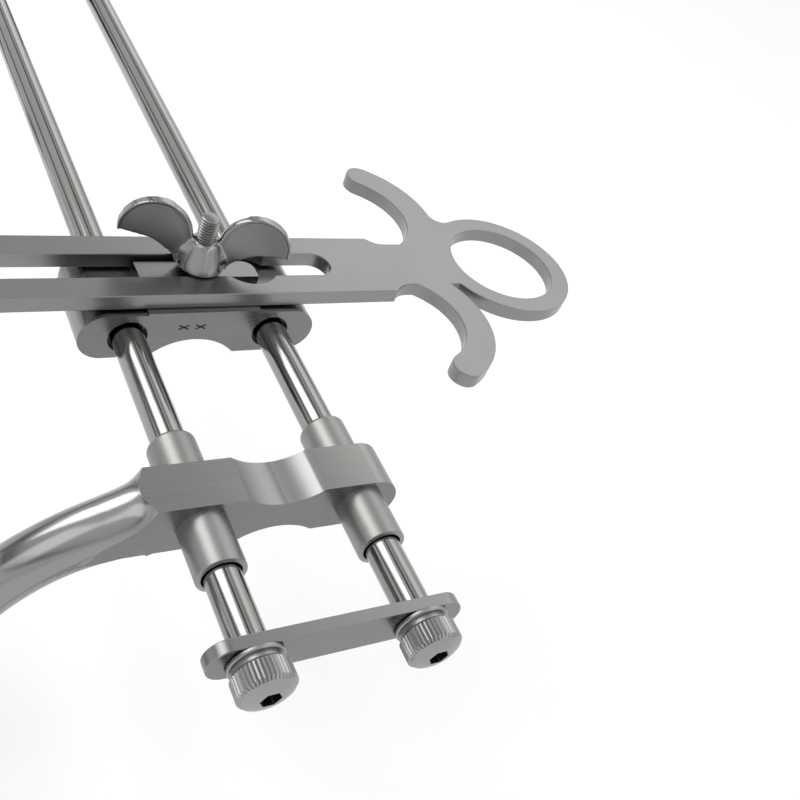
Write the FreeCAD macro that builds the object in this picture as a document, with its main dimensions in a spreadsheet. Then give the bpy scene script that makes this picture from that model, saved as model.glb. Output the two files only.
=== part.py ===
"""Self retaining retractor: two round guide rods, a fixed and a sliding arm with
wire side blades, and a clamped carriage whose slotted bar carries the centre blade.

Row frame in millimetres: X along the slotted bar to its finger ring, Y along the
guide rods away from their screwed end plate, Z up. The origin lies midway between
the two rod axes, under the middle line of the slotted bar.
"""
import FreeCAD
import Part
import math
import os
import re
import Sketcher

from FreeCAD import Vector

# Driving sizes
SIZES = {
    # guide rods
    "rod_radius": 4.0,
    "rod_spread": 37.2,
    "rod_near_end": -100.9,
    "rod_length": 296.9,
    # fits
    "running_clearance": 0.08,
    "slide_gap": 0.1,
    "end_float": 0.3,
    # end plate and its two thumb screws
    "plate_thick": 2.9,
    "plate_half_height": 4.9,
    "plate_length": 57.0,
    "screw_shank_radius": 2.5,
    "screw_shank_length": 16.0,
    "flange_radius": 6.0,
    "flange_thick": 1.0,
    "neck_radius": 5.0,
    "neck_length": 1.3,
    "head_radius": 6.2,
    "head_length": 5.0,
    "dome_rise": 1.8,
    "socket_flats": 4.0,
    "socket_depth": 2.6,
    "tooth_count": 44,
    "tooth_depth": 0.4,
    # arm blocks, the same on the sliding and the fixed arm
    "arm_plane": -65.6,
    "arm_depth": 12.0,
    "arm_half_height": 6.75,
    "arm_left": -31.0,
    "arm_right": 28.0,
    "scoop_radius": 15.0,
    "scoop_depth": 3.0,
    "scoop_place": -0.75,
    # round arm, from the block down to the blade's eye
    "arm_radius": 5.85,
    "arm_slope": 24.0,
    "arm_run": 8.0,
    "arm_steep": 50.0,
    "arm_bend": 55.0,
    "arm_return": 32.0,
    "arm_tail": 6.0,
    "flare_length": 5.0,
    "flare_radius": 5.5,
    "flare_overlap": 3.3,
    "flare_sink": 0.15,
    "cheek_heel": 1.2,
    "cheek_waist": 4.2,
    "cheek_waist_level": 4.6,
    "cheek_length": 11.7,
    "cheek_root": 2.0,
    "cheek_root_level": 6.0,
    "eye_radius": 8.5,
    "eye_height": 13.0,
    # guide sleeves of the sliding arm
    "sleeve_radius": 5.535,
    "sleeve_near": -84.2,
    "sleeve_far": -48.5,
    "sleeve_mouth_radius": 4.65,
    "sleeve_mouth_depth": 3.0,
    "sleeve_round": 1.3,
    # cross pins of the fixed arm
    "pin_radius": 1.5,
    # carriage block
    "carriage_front": -13.3,
    "carriage_back": 11.5,
    "carriage_half_length": 30.6,
    "carriage_bottom": -6.3,
    "carriage_top": 6.7,
    "carriage_corner": 5.0,
    "mouth_radius": 4.85,
    "mouth_depth": 3.5,
    "arch_radius": 15.0,
    "arch_crown": -1.5,
    "arch_place": -1.5,
    "seat_half_length": 14.5,
    "seat_height": 7.22,
    "key_left": -14.4,
    "key_right": 16.8,
    "key_half_width": 3.1,
    "key_top": 10.0,
    "key_corner": 3.0,
    # clamp stud and wing nut
    "stud_place": 1.3,
    "stud_radius": 2.45,
    "stud_foot": -1.5,
    "stud_top": 25.5,
    "stud_crown": 0.8,
    "nut_turn": -16.8,
    "nut_base_radius": 5.95,
    "nut_top_radius": 3.2,
    "nut_height": 8.1,
    "wing_place": 13.2,
    "wing_rise": 8.76,
    "wing_radius": 8.0,
    "wing_thick": 2.4,
    "wing_web": 1.6,
    "wing_rim": 0.6,
    "wing_rim_level": 7.3,
    "wing_hollow_place": 18.0,
    "wing_hollow_drop": 7.2,
    "wing_hollow_radius": 13.8,
    "wing_tip_slope": 17.0,
    "wing_tip_start": 13.5,
    "wing_tip_level": 5.8,
    # slotted bar
    "bar_thick": 4.1,
    "bar_half_width": 11.5,
    "bar_left": -112.0,
    "slot_left": -84.0,
    "slot_right": 38.2,
    "slot_half_width": 4.45,
    "keyhole_place": 14.4,
    "keyhole_radius": 7.7,
    # finger ring and finger rests at the bar's right end
    "neck_left": 59.5,
    "neck_half_width": 8.9,
    "neck_round": 6.0,
    "ring_place": 96.6,
    "ring_outer": 21.9,
    "ring_inner": 16.25,
    "back_horn_x": 55.0,
    "back_horn_y": 24.0,
    "back_horn_outer": 27.5,
    "back_horn_inner": 18.0,
    "back_horn_tip": 56.0,
    "front_horn_x": 51.5,
    "front_horn_y": 22.5,
    "front_horn_outer": 25.5,
    "front_horn_inner": 17.0,
    "front_horn_tip": 64.0,
    "horn_root": 62.0,
    "ring_overlap": 2.0,
    "notch_round": 4.0,
    # centre blade under the bar's left end
    "tang_right": -86.0,
    "tang_half_width": 10.0,
    "tang_thick": 3.0,
    "blade_bend": 14.0,
    "blade_thick": 2.5,
    "blade_curve": 60.0,
    "blade_half_angle": 30.0,
    "blade_top": -8.0,
    "blade_foot": -52.0,
    "lip_radius": 14.0,
    "lip_angle": 60.0,
    "rivet_radius": 2.0,
    "rivet_head_radius": 3.4,
    "rivet_head_thick": 1.0,
    "rivet_first": -106.0,
    "rivet_second": -92.0,
    # wire side blades, their shanks and cap nuts
    "swivel_radius": 3.5,
    "collar_radius": 7.0,
    "collar_thick": 2.5,
    "hub_half_length": 12.0,
    "hub_half_width": 5.0,
    "hub_height": 9.0,
    "thread_radius": 2.5,
    "cap_radius": 6.4,
    "cap_height": 5.5,
    "cap_crown": 2.0,
    "wire_radius": 2.25,
    "loop_half_width": 23.0,
    "loop_drop": 48.0,
    "loop_flare_out": 13.0,
    "loop_flare_down": 11.0,
    "loop_corner": 9.0,
    "loop_foot_corner": 10.0,
    "loop_flare_bend": 12.0,
}

doc = FreeCAD.newDocument("Retractor")
sheet = doc.addObject("Spreadsheet::Sheet", "Sizes")
for line, (alias, amount) in enumerate(SIZES.items(), start=1):
    sheet.set("A%d" % line, alias)
    sheet.set("B%d" % line, str(amount))
    sheet.setAlias("B%d" % line, alias)
doc.recompute()

SUB_PARTS = []
FIXED_PLANE = "(rod_near_end + rod_length - arm_depth / 2)"
UP = FreeCAD.Rotation()
ALONG_Y = FreeCAD.Rotation(Vector(1, 0, 0), -90)
FLAT_IN_XZ = FreeCAD.Rotation(Vector(1, 0, 0), 90)


def size(alias):
    """Return one driving size from the sheet as a number."""
    return float(sheet.get(alias))


def from_sheet(text):
    """Write an expression over the sheet from one over bare size names."""
    return re.sub(r"[a-z_]+", lambda word: "Sizes." + word.group() if word.group() in SIZES else word.group(), text)


def bind(item, **expressions):
    """Bind properties of an object to expressions over the driving sizes."""
    for prop, text in expressions.items():
        item.setExpression(prop, from_sheet(text))


def place(item, base, turn=UP):
    """Turn an object and bind the three coordinates of its base."""
    item.Placement = FreeCAD.Placement(Vector(), turn)
    for axis, text in zip("xyz", base):
        item.setExpression("Placement.Base." + axis, from_sheet(text))
    return item


def box(name, low, high):
    """Add a box between two corners given as expressions."""
    item = doc.addObject("Part::Box", name)
    sides = ["(%s) - (%s)" % pair for pair in zip(high, low)]
    bind(item, Length=sides[0], Width=sides[1], Height=sides[2])
    return place(item, low)


def rod(name, radius, length, base, turn=UP, angle="360"):
    """Add a cylinder, or a sector of one, from its base along the turned Z axis."""
    item = doc.addObject("Part::Cylinder", name)
    bind(item, Radius=radius, Height=length, Angle=angle)
    return place(item, base, turn)


def cone(name, first_radius, second_radius, length, base, turn=UP):
    """Add a cone from its base along the turned Z axis."""
    item = doc.addObject("Part::Cone", name)
    bind(item, Radius1=first_radius, Radius2=second_radius, Height=length)
    return place(item, base, turn)


def fuse(name, pieces):
    """Join pieces into one solid with its seams removed."""
    item = doc.addObject("Part::MultiFuse", name)
    item.Shapes = pieces
    item.Refine = True
    return item


def cut(name, stock, tools):
    """Cut one or more tools out of a piece of stock."""
    tool = tools[0]
    if len(tools) > 1:
        tool = doc.addObject("Part::Compound", name + "_tools")
        tool.Links = tools
    item = doc.addObject("Part::Cut", name)
    item.Base = stock
    item.Tool = tool
    item.Refine = True
    return item


def common(name, pieces):
    """Keep what all the pieces share."""
    item = doc.addObject("Part::MultiCommon", name)
    item.Shapes = pieces
    return item


def round_edges(name, stock, radius, chosen):
    """Round the edges of an object that a test picks by their middle point."""
    doc.recompute()
    picked = []
    for number, edge in enumerate(stock.Shape.Edges, start=1):
        middle = edge.valueAt((edge.FirstParameter + edge.LastParameter) / 2)
        if chosen(edge, middle):
            picked.append((number, radius, radius))
    item = doc.addObject("Part::Fillet", name)
    item.Base = stock
    item.Edges = picked
    return item


def shaped(name, shape):
    """Add a form that Part's own functions made from the driving sizes."""
    item = doc.addObject("Part::Feature", name)
    item.Shape = shape
    return item


def bent_rod(radius, path):
    """Return a round rod along a path of straight and round edges, tangent to each other."""
    runs = []
    for edge in path:
        start = edge.valueAt(edge.FirstParameter)
        end = edge.valueAt(edge.LastParameter)
        disc = Part.Face(Part.Wire([Part.makeCircle(radius, start, edge.tangentAt(edge.FirstParameter))]))
        if edge.Curve.TypeId == "Part::GeomLine":
            runs.append(disc.extrude(end - start))
        else:
            angle = math.degrees(edge.LastParameter - edge.FirstParameter)
            runs.append(disc.revolve(edge.Curve.Center, edge.Curve.Axis, angle))
    return runs[0].multiFuse(runs[1:]).removeSplitter().Solids[0]


def bound_size(sketch, kind, ends, expression):
    """Add a dimension to a sketch and bind it to an expression over the driving sizes."""
    number = sketch.addConstraint(Sketcher.Constraint(kind, *ends, 1.0))
    bind(sketch, **{"Constraints[%d]" % number: expression})


def finish(item, label, base=None, turn=UP):
    """Name a sub-part, place it and list it for export."""
    item.Label = label
    if base is not None:
        place(item, base, turn)
    SUB_PARTS.append(item)
    return item


def upright(edge, middle):
    """Tell whether an edge is a straight one along Z."""
    if edge.Curve.TypeId != "Part::GeomLine":
        return False
    return abs(edge.tangentAt(edge.FirstParameter).z) > 0.999


# Guide rods: bored for a thumb screw at the near end, cross pinned at the far end
def guide_rod(side, sign):
    x = "%s rod_spread / 2" % sign
    bar = rod(side + "_rod_bar", "rod_radius", "rod_length", (x, "rod_near_end", "0"), ALONG_Y)
    screw_hole = rod(side + "_rod_hole", "screw_shank_radius + slide_gap",
                     "screw_shank_length - plate_thick + 1",
                     (x, "rod_near_end", "0"), ALONG_Y)
    pin_hole = rod(side + "_rod_pin_hole", "pin_radius", "2 * rod_radius",
                   (x, FIXED_PLANE, "-rod_radius"))
    finish(cut(side + "_rod", bar, [screw_hole, pin_hole]), side + "_rod")


# End plate: a round ended strap across the near ends of the rods, padded from its outline
def end_plate():
    reach = "(plate_length / 2 - plate_half_height)"
    body = doc.addObject("PartDesign::Body", "end_plate")
    sketch = body.newObject("Sketcher::SketchObject", "plate_outline")
    sketch.AttachmentSupport = [(item, "") for item in body.Origin.OriginFeatures if item.Role == "XZ_Plane"]
    sketch.MapMode = "FlatFace"
    half = size("plate_half_height")
    middle = size("plate_length") / 2 - half
    quarter = math.pi / 2
    right = Part.Circle(Vector(middle, 0, 0), Vector(0, 0, 1), half)
    left = Part.Circle(Vector(-middle, 0, 0), Vector(0, 0, 1), half)
    sketch.addGeometry(Part.ArcOfCircle(right, -quarter, quarter), False)
    sketch.addGeometry(Part.LineSegment(Vector(middle, half, 0), Vector(-middle, half, 0)), False)
    sketch.addGeometry(Part.ArcOfCircle(left, quarter, 3 * quarter), False)
    sketch.addGeometry(Part.LineSegment(Vector(-middle, -half, 0), Vector(middle, -half, 0)), False)
    for first, second in ((0, 1), (1, 2), (2, 3), (3, 0)):
        sketch.addConstraint(Sketcher.Constraint("Tangent", first, 2, second, 1))
    sides = ((0, "right", "rod_spread / 2"), (2, "left", "rod_spread / 2"))
    for arc, side, hole_reach in sides:
        sign = 1 if side == "right" else -1
        hole = sketch.addGeometry(Part.Circle(Vector(sign * size("rod_spread") / 2, 0, 0), Vector(0, 0, 1),
                                              size("screw_shank_radius")), False)
        bound_size(sketch, "Radius", (arc,), "plate_half_height")
        bound_size(sketch, "Radius", (hole,), "screw_shank_radius + slide_gap")
        for curve, expression in ((arc, reach), (hole, hole_reach)):
            sketch.addConstraint(Sketcher.Constraint("PointOnObject", curve, 3, -1))
            ends = (-1, 1, curve, 3) if sign > 0 else (curve, 3, -1, 1)
            bound_size(sketch, "DistanceX", ends, expression)
    pad = body.newObject("PartDesign::Pad", "plate_pad")
    pad.Profile = sketch
    bind(pad, Length="plate_thick")
    finish(body, "end_plate", ("0", "rod_near_end", "0"))


def knurl():
    """Return a toothed star, which gives a round head its straight knurl."""
    teeth = int(size("tooth_count"))
    corners = []
    for half_tooth in range(2 * teeth):
        angle = math.pi * half_tooth / teeth
        reach = size("head_radius") + (size("tooth_depth") if half_tooth % 2 else -size("tooth_depth"))
        corners.append(Vector(reach * math.cos(angle), reach * math.sin(angle), 0))
    low = size("flange_thick") + size("neck_length")
    star = Part.Face(Part.makePolygon(corners + corners[:1])).extrude(Vector(0, 0, size("head_length")))
    star.translate(Vector(0, 0, low))
    return star


# Thumb screw: drawn with its axis along Z, head up, from the flange's seat
def thumb_screw(side, sign):
    name = "thumb_screw_" + side
    shank = rod(name + "_shank", "screw_shank_radius", "screw_shank_length", ("0", "0", "-screw_shank_length"))
    flange = rod(name + "_flange", "flange_radius", "flange_thick", ("0", "0", "0"))
    neck = rod(name + "_neck", "neck_radius", "neck_length", ("0", "0", "flange_thick"))
    rim = rod(name + "_rim", "head_radius", "head_length", ("0", "0", "flange_thick + neck_length"))
    head = common(name + "_head", [rim, shaped(name + "_knurl", knurl())])
    ball = doc.addObject("Part::Sphere", name + "_ball")
    bind(ball, Radius="(head_radius * head_radius + dome_rise * dome_rise) / (2 * dome_rise)")
    crown = "(flange_thick + neck_length + head_length + dome_rise)"
    place(ball, ("0", "0", crown + " - (head_radius * head_radius + dome_rise * dome_rise) / (2 * dome_rise)"))
    bounds = rod(name + "_dome_room", "head_radius", "dome_rise", ("0", "0", crown + " - dome_rise"))
    dome = common(name + "_dome", [ball, bounds])
    socket = doc.addObject("Part::Prism", name + "_socket")
    socket.Polygon = 6
    bind(socket, Circumradius="socket_flats / 2 / cos(30)", Height="socket_depth + 1")
    place(socket, ("0", "0", crown + " - socket_depth"))
    blank = fuse(name + "_blank", [shank, flange, neck, head, dome])
    finish(cut(name, blank, [socket]), name,
           (sign + "rod_spread / 2", "rod_near_end - plate_thick - slide_gap", "0"), FLAT_IN_XZ)


def arm_route():
    """Return the corners of a round arm's middle line from the block to its eye, in the XZ plane."""
    slope = math.radians(size("arm_slope"))
    steep = math.radians(size("arm_steep"))
    bend = size("arm_bend")
    back = size("arm_return")
    start = Vector(size("arm_left"), 0, 0)
    down = Vector(-math.cos(slope), 0, -math.sin(slope))
    first = start + down * size("arm_run")
    first_centre = first + Vector(math.sin(slope), 0, -math.cos(slope)) * bend

    def on_bend(angle):
        return first_centre + Vector(-math.sin(angle), 0, math.cos(angle)) * bend

    second = on_bend(steep)
    second_centre = second + Vector(-math.sin(steep), 0, math.cos(steep)) * back

    def on_return(angle):
        return second_centre + Vector(math.sin(angle), 0, -math.cos(angle)) * back

    third = on_return(0)
    end = third + Vector(-size("arm_tail"), 0, 0)
    return start, first, on_bend((slope + steep) / 2), second, on_return(steep / 2), third, end


def arm_tube():
    """Return the round arm as one swept solid."""
    start, first, first_middle, second, second_middle, third, end = arm_route()
    edges = [
        Part.LineSegment(start, first).toShape(),
        Part.Arc(first, first_middle, second).toShape(),
        Part.Arc(second, second_middle, third).toShape(),
        Part.LineSegment(third, end).toShape(),
    ]
    return bent_rod(size("arm_radius"), edges)


def arm_flare():
    """Return the trumpet in which the round arm grows out of its block."""
    slope = math.radians(size("arm_slope"))
    along = Vector(-math.cos(slope), 0, -math.sin(slope))
    out = Vector(-math.sin(slope), 0, math.cos(slope))
    root = Vector(size("arm_left"), 0, 0) - along * size("flare_overlap")
    length = size("flare_length")
    hollow = size("flare_radius")
    neck = size("arm_radius") - size("flare_sink")

    def at(reach):
        rise = hollow - math.sqrt(hollow ** 2 - (length - reach) ** 2)
        return root + along * reach + out * (neck + rise)

    tip = root + along * length
    edges = [
        Part.LineSegment(root, at(0)).toShape(),
        Part.Arc(at(0), at(length / 2), at(length)).toShape(),
        Part.LineSegment(at(length), tip).toShape(),
        Part.LineSegment(tip, root).toShape(),
    ]
    return Part.Face(Part.Wire(edges)).revolve(root, along, 360)


def arm_cheek():
    """Return the flat sided web under the round arm, which runs the block's faces out along it."""
    left = size("arm_left")
    low = -size("arm_half_height")
    heel = Vector(left + size("cheek_heel"), 0, low)
    waist = Vector(left - size("cheek_waist"), 0, -size("cheek_waist_level"))
    drop = size("cheek_length") * math.tan(math.radians(size("arm_slope")))
    tip = Vector(left - size("cheek_length"), 0, -drop)
    root = Vector(left + size("cheek_root"), 0, size("cheek_root_level"))
    foot = Vector(root.x, 0, low)
    belly = (waist + tip) / 2 + Vector(0, 0, (waist.z - tip.z) / 4)
    edges = [
        Part.LineSegment(foot, heel).toShape(),
        Part.LineSegment(heel, waist).toShape(),
        Part.Arc(waist, belly, tip).toShape(),
        Part.LineSegment(tip, root).toShape(),
        Part.LineSegment(root, foot).toShape(),
    ]
    web = Part.Face(Part.Wire(edges)).extrude(Vector(0, size("arm_depth"), 0))
    web.translate(Vector(0, -size("arm_depth") / 2, 0))
    return web


def eye_place():
    """Return the middle of the eye at the arm's end, in the arm's own plane."""
    end = arm_route()[-1]
    return Vector(end.x - size("eye_radius") + size("arm_radius") / 2, 0, end.z)


# Arm: a flat faced block on the rods that runs out into a round curved arm with an eye
def arm(name, plane, bore_radius, pinned):
    half = "arm_depth / 2"
    stock = box(name + "_stock", ("arm_left", "-" + half, "-arm_half_height"),
                ("arm_right - arm_half_height", half, "arm_half_height"))
    nose = rod(name + "_nose", "arm_half_height", "arm_depth",
               ("arm_right - arm_half_height", "-" + half, "0"), ALONG_Y)
    tube = shaped(name + "_tube", arm_tube())
    flare = shaped(name + "_flare", arm_flare())
    room = box(name + "_room", ("2 * arm_left", "-" + half, "-arm_half_height"),
               ("0", half, "arm_half_height"))
    shoulder = common(name + "_shoulder", [flare, room])
    cheek = shaped(name + "_cheek", arm_cheek())
    eye = eye_place()
    boss = doc.addObject("Part::Cylinder", name + "_boss")
    bind(boss, Radius="eye_radius", Height="eye_height")
    boss.Placement = FreeCAD.Placement(eye - Vector(0, 0, size("eye_height") / 2), UP)
    blank = fuse(name + "_blank", [stock, nose, tube, shoulder, cheek, boss])
    tools = []
    for side, level in (("top", "arm_half_height - scoop_depth + scoop_radius"),
                        ("bottom", "-arm_half_height + scoop_depth - scoop_radius")):
        tools.append(rod(name + "_%s_scoop" % side, "scoop_radius", "2 * arm_depth",
                         ("scoop_place", "-arm_depth", level), ALONG_Y))
    for side, sign in (("left", "-"), ("right", "+")):
        tools.append(rod(name + "_%s_bore" % side, bore_radius, "2 * arm_depth",
                         (sign + "rod_spread / 2", "-arm_depth", "0"), ALONG_Y))
        if pinned:
            tools.append(rod(name + "_%s_pin_hole" % side, "pin_radius", "2 * arm_half_height",
                             (sign + "rod_spread / 2", "0", "-arm_half_height")))
    eye_bore = doc.addObject("Part::Cylinder", name + "_eye_bore")
    bind(eye_bore, Radius="swivel_radius + running_clearance", Height="2 * eye_height")
    eye_bore.Placement = FreeCAD.Placement(eye - Vector(0, 0, size("eye_height")), UP)
    tools.append(eye_bore)
    finish(cut(name, blank, tools), name, ("0", plane, "0"))


# Guide sleeve: a long bush in the sliding arm's bore, wide at its near mouth
def sleeve(side, sign):
    name = side + "_sleeve"
    x = "%s rod_spread / 2" % sign
    wall = rod(name + "_wall", "sleeve_radius", "sleeve_far - sleeve_near", (x, "sleeve_near", "0"), ALONG_Y)
    rounded = round_edges(name + "_rounded", wall, size("sleeve_round"),
                          lambda edge, middle: middle.y > size("sleeve_far") - 0.01)
    bore = rod(name + "_bore", "rod_radius + running_clearance", "sleeve_far - sleeve_near",
               (x, "sleeve_near", "0"), ALONG_Y)
    mouth = rod(name + "_mouth", "sleeve_mouth_radius", "sleeve_mouth_depth", (x, "sleeve_near", "0"), ALONG_Y)
    finish(cut(name, rounded, [fuse(name + "_hole", [bore, mouth])]), name)


# Cross pins: they hold the rods' far ends in the fixed arm
def rod_pins():
    pins = [rod("%s_pin" % side, "pin_radius", "2 * arm_half_height",
                (sign + "rod_spread / 2", FIXED_PLANE, "-arm_half_height"))
            for side, sign in (("left", "-"), ("right", "+"))]
    group = doc.addObject("Part::Compound", "rod_pins")
    group.Links = pins
    finish(group, "rod_pins")


# Carriage block: round ended, arched below, with a raised seat for the bar
def carriage_block():
    end_radius = "(carriage_top - carriage_bottom) / 2"
    middle_height = "(carriage_top + carriage_bottom) / 2"
    reach = "(carriage_half_length - %s)" % end_radius
    depth = "carriage_back - carriage_front"
    middle = box("carriage_middle", ("-" + reach, "carriage_front", "carriage_bottom"),
                 (reach, "carriage_back", "carriage_top"))
    ends = [rod("carriage_%s_end" % side, end_radius, depth,
                (sign + reach, "carriage_front", middle_height), ALONG_Y)
            for side, sign in (("left", "-"), ("right", "+"))]
    plan = box("carriage_plan", ("-carriage_half_length", "carriage_front", "2 * carriage_bottom"),
               ("carriage_half_length", "carriage_back", "2 * carriage_top"))
    plan = round_edges("carriage_plan_rounded", plan, size("carriage_corner"),
                       lambda edge, middle: upright(edge, middle) and middle.y > 0)
    body = common("carriage_body", [fuse("carriage_stadium", [middle] + ends), plan])
    seat = box("carriage_seat", ("-seat_half_length", "carriage_front", "0"),
               ("seat_half_length", "carriage_back", "seat_height"))
    tools = [rod("carriage_arch", "arch_radius", "2 * (%s)" % depth,
                 ("arch_place", "2 * carriage_front", "arch_crown - arch_radius"), ALONG_Y)]
    for side, sign in (("left", "-"), ("right", "+")):
        x = sign + "rod_spread / 2"
        bore = rod("carriage_%s_bore" % side, "rod_radius + running_clearance", depth,
                   (x, "carriage_front", "0"), ALONG_Y)
        front = rod("carriage_%s_mouth" % side, "mouth_radius", "mouth_depth", (x, "carriage_front", "0"), ALONG_Y)
        back = rod("carriage_%s_back_mouth" % side, "mouth_radius", "mouth_depth",
                   (x, "carriage_back - mouth_depth", "0"), ALONG_Y)
        tools.append(fuse("carriage_%s_hole" % side, [bore, front, back]))
    tools.append(rod("carriage_stud_hole", "stud_radius", "2 * seat_height", ("stud_place", "0", "-seat_height")))
    finish(cut("carriage_block", fuse("carriage_blank", [body, seat]), tools), "carriage_block")


# Guide key: the low block in the bar's slot
def guide_key():
    block = box("key_block", ("key_left", "-key_half_width", "seat_height"),
                ("key_right", "key_half_width", "key_top"))
    block = round_edges("key_rounded", block, size("key_corner"),
                        lambda edge, middle: upright(edge, middle) and middle.y > 0 and middle.x > 0)
    hole = rod("key_stud_hole", "stud_radius", "2 * seat_height", ("stud_place", "0", "0"))
    finish(cut("guide_key", block, [hole]), "guide_key")


# Clamp stud: fixed in the carriage, with a rounded free end
def clamp_stud():
    shank = rod("stud_shank", "stud_radius", "stud_top - stud_foot", ("0", "0", "stud_foot"))
    point = cone("stud_point", "stud_radius", "stud_radius - stud_crown", "stud_crown", ("0", "0", "stud_top"))
    finish(fuse("clamp_stud", [shank, point]), "clamp_stud", ("stud_place", "0", "0"))


# Wing nut: drawn on its own axis from its seat on the bar
def wing_nut():
    hub = cone("nut_hub", "nut_base_radius", "nut_top_radius", "nut_height", ("0", "0", "0"))
    wings = []
    for side, sign in (("left", "-"), ("right", "+")):
        centre = sign + "wing_place"
        disc = rod("nut_%s_disc" % side, "wing_radius", "wing_web", (centre, "-wing_web / 2", "wing_rise"), ALONG_Y)
        web = box("nut_%s_web" % side, (("0" if sign == "+" else "-wing_place"), "-wing_web / 2", "0"),
                  (("wing_place" if sign == "+" else "0"), "wing_web / 2", "nut_height"))
        hoop = rod("nut_%s_hoop" % side, "wing_radius", "wing_thick", (centre, "-wing_thick / 2", "wing_rise"), ALONG_Y)
        inside = rod("nut_%s_inside" % side, "wing_radius - wing_rim", "wing_thick",
                     (centre, "-wing_thick / 2", "wing_rise"), ALONG_Y)
        below = box("nut_%s_below" % side, (centre + " - 2 * wing_radius", "-wing_thick", "-wing_rise"),
                    (centre + " + 2 * wing_radius", "wing_thick", "wing_rim_level"))
        rim = cut("nut_%s_rim" % side, hoop, [inside, below])
        hollow = rod("nut_%s_hollow" % side, "wing_hollow_radius", "2 * wing_thick",
                     (sign + "wing_hollow_place", "-wing_thick", "-wing_hollow_drop"), ALONG_Y)
        underside = doc.addObject("Part::Box", "nut_%s_underside" % side)
        bind(underside, Length="2 * wing_radius", Width="2 * wing_thick", Height="2 * wing_radius")
        slope = FreeCAD.Rotation(Vector(0, 1, 0), -size("wing_tip_slope"))
        corner = ("wing_tip_start + 2 * wing_radius * sin(wing_tip_slope)", "-wing_thick",
                  "wing_tip_level - 2 * wing_radius * cos(wing_tip_slope)")
        if sign == "-":
            slope = FreeCAD.Rotation(Vector(0, 0, 1), 180) * slope
            corner = ("-(%s)" % corner[0], "wing_thick", corner[2])
        place(underside, corner, slope)
        wings.append(cut("nut_%s_wing" % side, fuse("nut_%s_stock" % side, [disc, web, rim]), [hollow, underside]))
    bore = rod("nut_bore", "stud_radius + slide_gap", "4 * nut_height", ("0", "0", "-nut_height"))
    finish(cut("wing_nut", fuse("nut_blank", [hub] + wings), [bore]), "wing_nut",
           ("stud_place", "0", "seat_height + bar_thick + 2 * slide_gap"),
           FreeCAD.Rotation(Vector(0, 0, 1), size("nut_turn")))


# Finger rest: a flat horn that is a sector of a ring with a round tip
def horn(side, sign):
    centre = (side + "_horn_x", "%s %s_horn_y" % (sign, side))
    outer = side + "_horn_outer"
    inner = side + "_horn_inner"
    tip = side + "_horn_tip"
    first_angle = -size("horn_root") if sign == "+" else -size(tip)
    turn = FreeCAD.Rotation(Vector(0, 0, 1), first_angle)
    sector = rod(side + "_horn_sector", outer, "bar_thick", centre + ("0",), turn, "horn_root + " + tip)
    hole = rod(side + "_horn_hole", inner, "bar_thick", centre + ("0",))
    mean = "(%s + %s) / 2" % (outer, inner)
    end = rod(side + "_horn_end", "(%s - %s) / 2" % (outer, inner), "bar_thick",
              (centre[0] + " + %s * cos(%s)" % (mean, tip), centre[1] + " %s %s * sin(%s)" % (sign, mean, tip), "0"))
    return [cut(side + "_horn", sector, [hole]), end]


# Slotted bar: one flat bar with its slot, keyhole, finger rests and finger ring
def slotted_bar():
    bar = box("bar_flat", ("bar_left", "-bar_half_width", "0"), ("neck_left", "bar_half_width", "bar_thick"))
    shoulders = [rod("bar_%s_shoulder" % side, "neck_round", "bar_thick",
                     ("neck_left", "%s(neck_half_width + neck_round)" % sign, "0"))
                 for side, sign in (("front", "-"), ("back", "+"))]
    bar = cut("bar_necked", bar, shoulders)
    neck = box("bar_neck", ("neck_left - neck_round", "-neck_half_width", "0"),
               ("ring_place - ring_inner - ring_overlap", "neck_half_width", "bar_thick"))
    ring = rod("bar_ring", "ring_outer", "bar_thick", ("ring_place", "0", "0"))
    blank = fuse("bar_blank", [bar, neck, ring] + horn("back", "+") + horn("front", "-"))
    notch = size("ring_place") - size("ring_outer")

    def inner_corner(edge, middle):
        beside_neck = abs(middle.y) > size("neck_half_width")
        return upright(edge, middle) and notch < middle.x < size("ring_place") and beside_neck

    blank = round_edges("bar_rounded", blank, size("notch_round"), inner_corner)
    slot_low = ("slot_left + slot_half_width", "-slot_half_width", "0")
    slot = box("bar_slot", slot_low, ("slot_right - slot_half_width", "slot_half_width", "bar_thick"))
    ends = [rod("bar_slot_%s_end" % side, "slot_half_width", "bar_thick", (x, "0", "0"))
            for side, x in (("left", "slot_left + slot_half_width"), ("right", "slot_right - slot_half_width"))]
    keyhole = rod("bar_keyhole", "keyhole_radius", "bar_thick", ("keyhole_place", "0", "0"))
    opening = fuse("bar_opening", [slot, keyhole] + ends)
    finger_hole = rod("bar_finger_hole", "ring_inner", "bar_thick", ("ring_place", "0", "0"))
    holes = [rod("bar_%s_rivet_hole" % name, "rivet_radius", "bar_thick", ("rivet_" + name, "0", "0"))
             for name in ("first", "second")]
    finish(cut("slotted_bar", blank, [opening, finger_hole] + holes), "slotted_bar",
           ("0", "0", "seat_height + slide_gap"))


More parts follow.
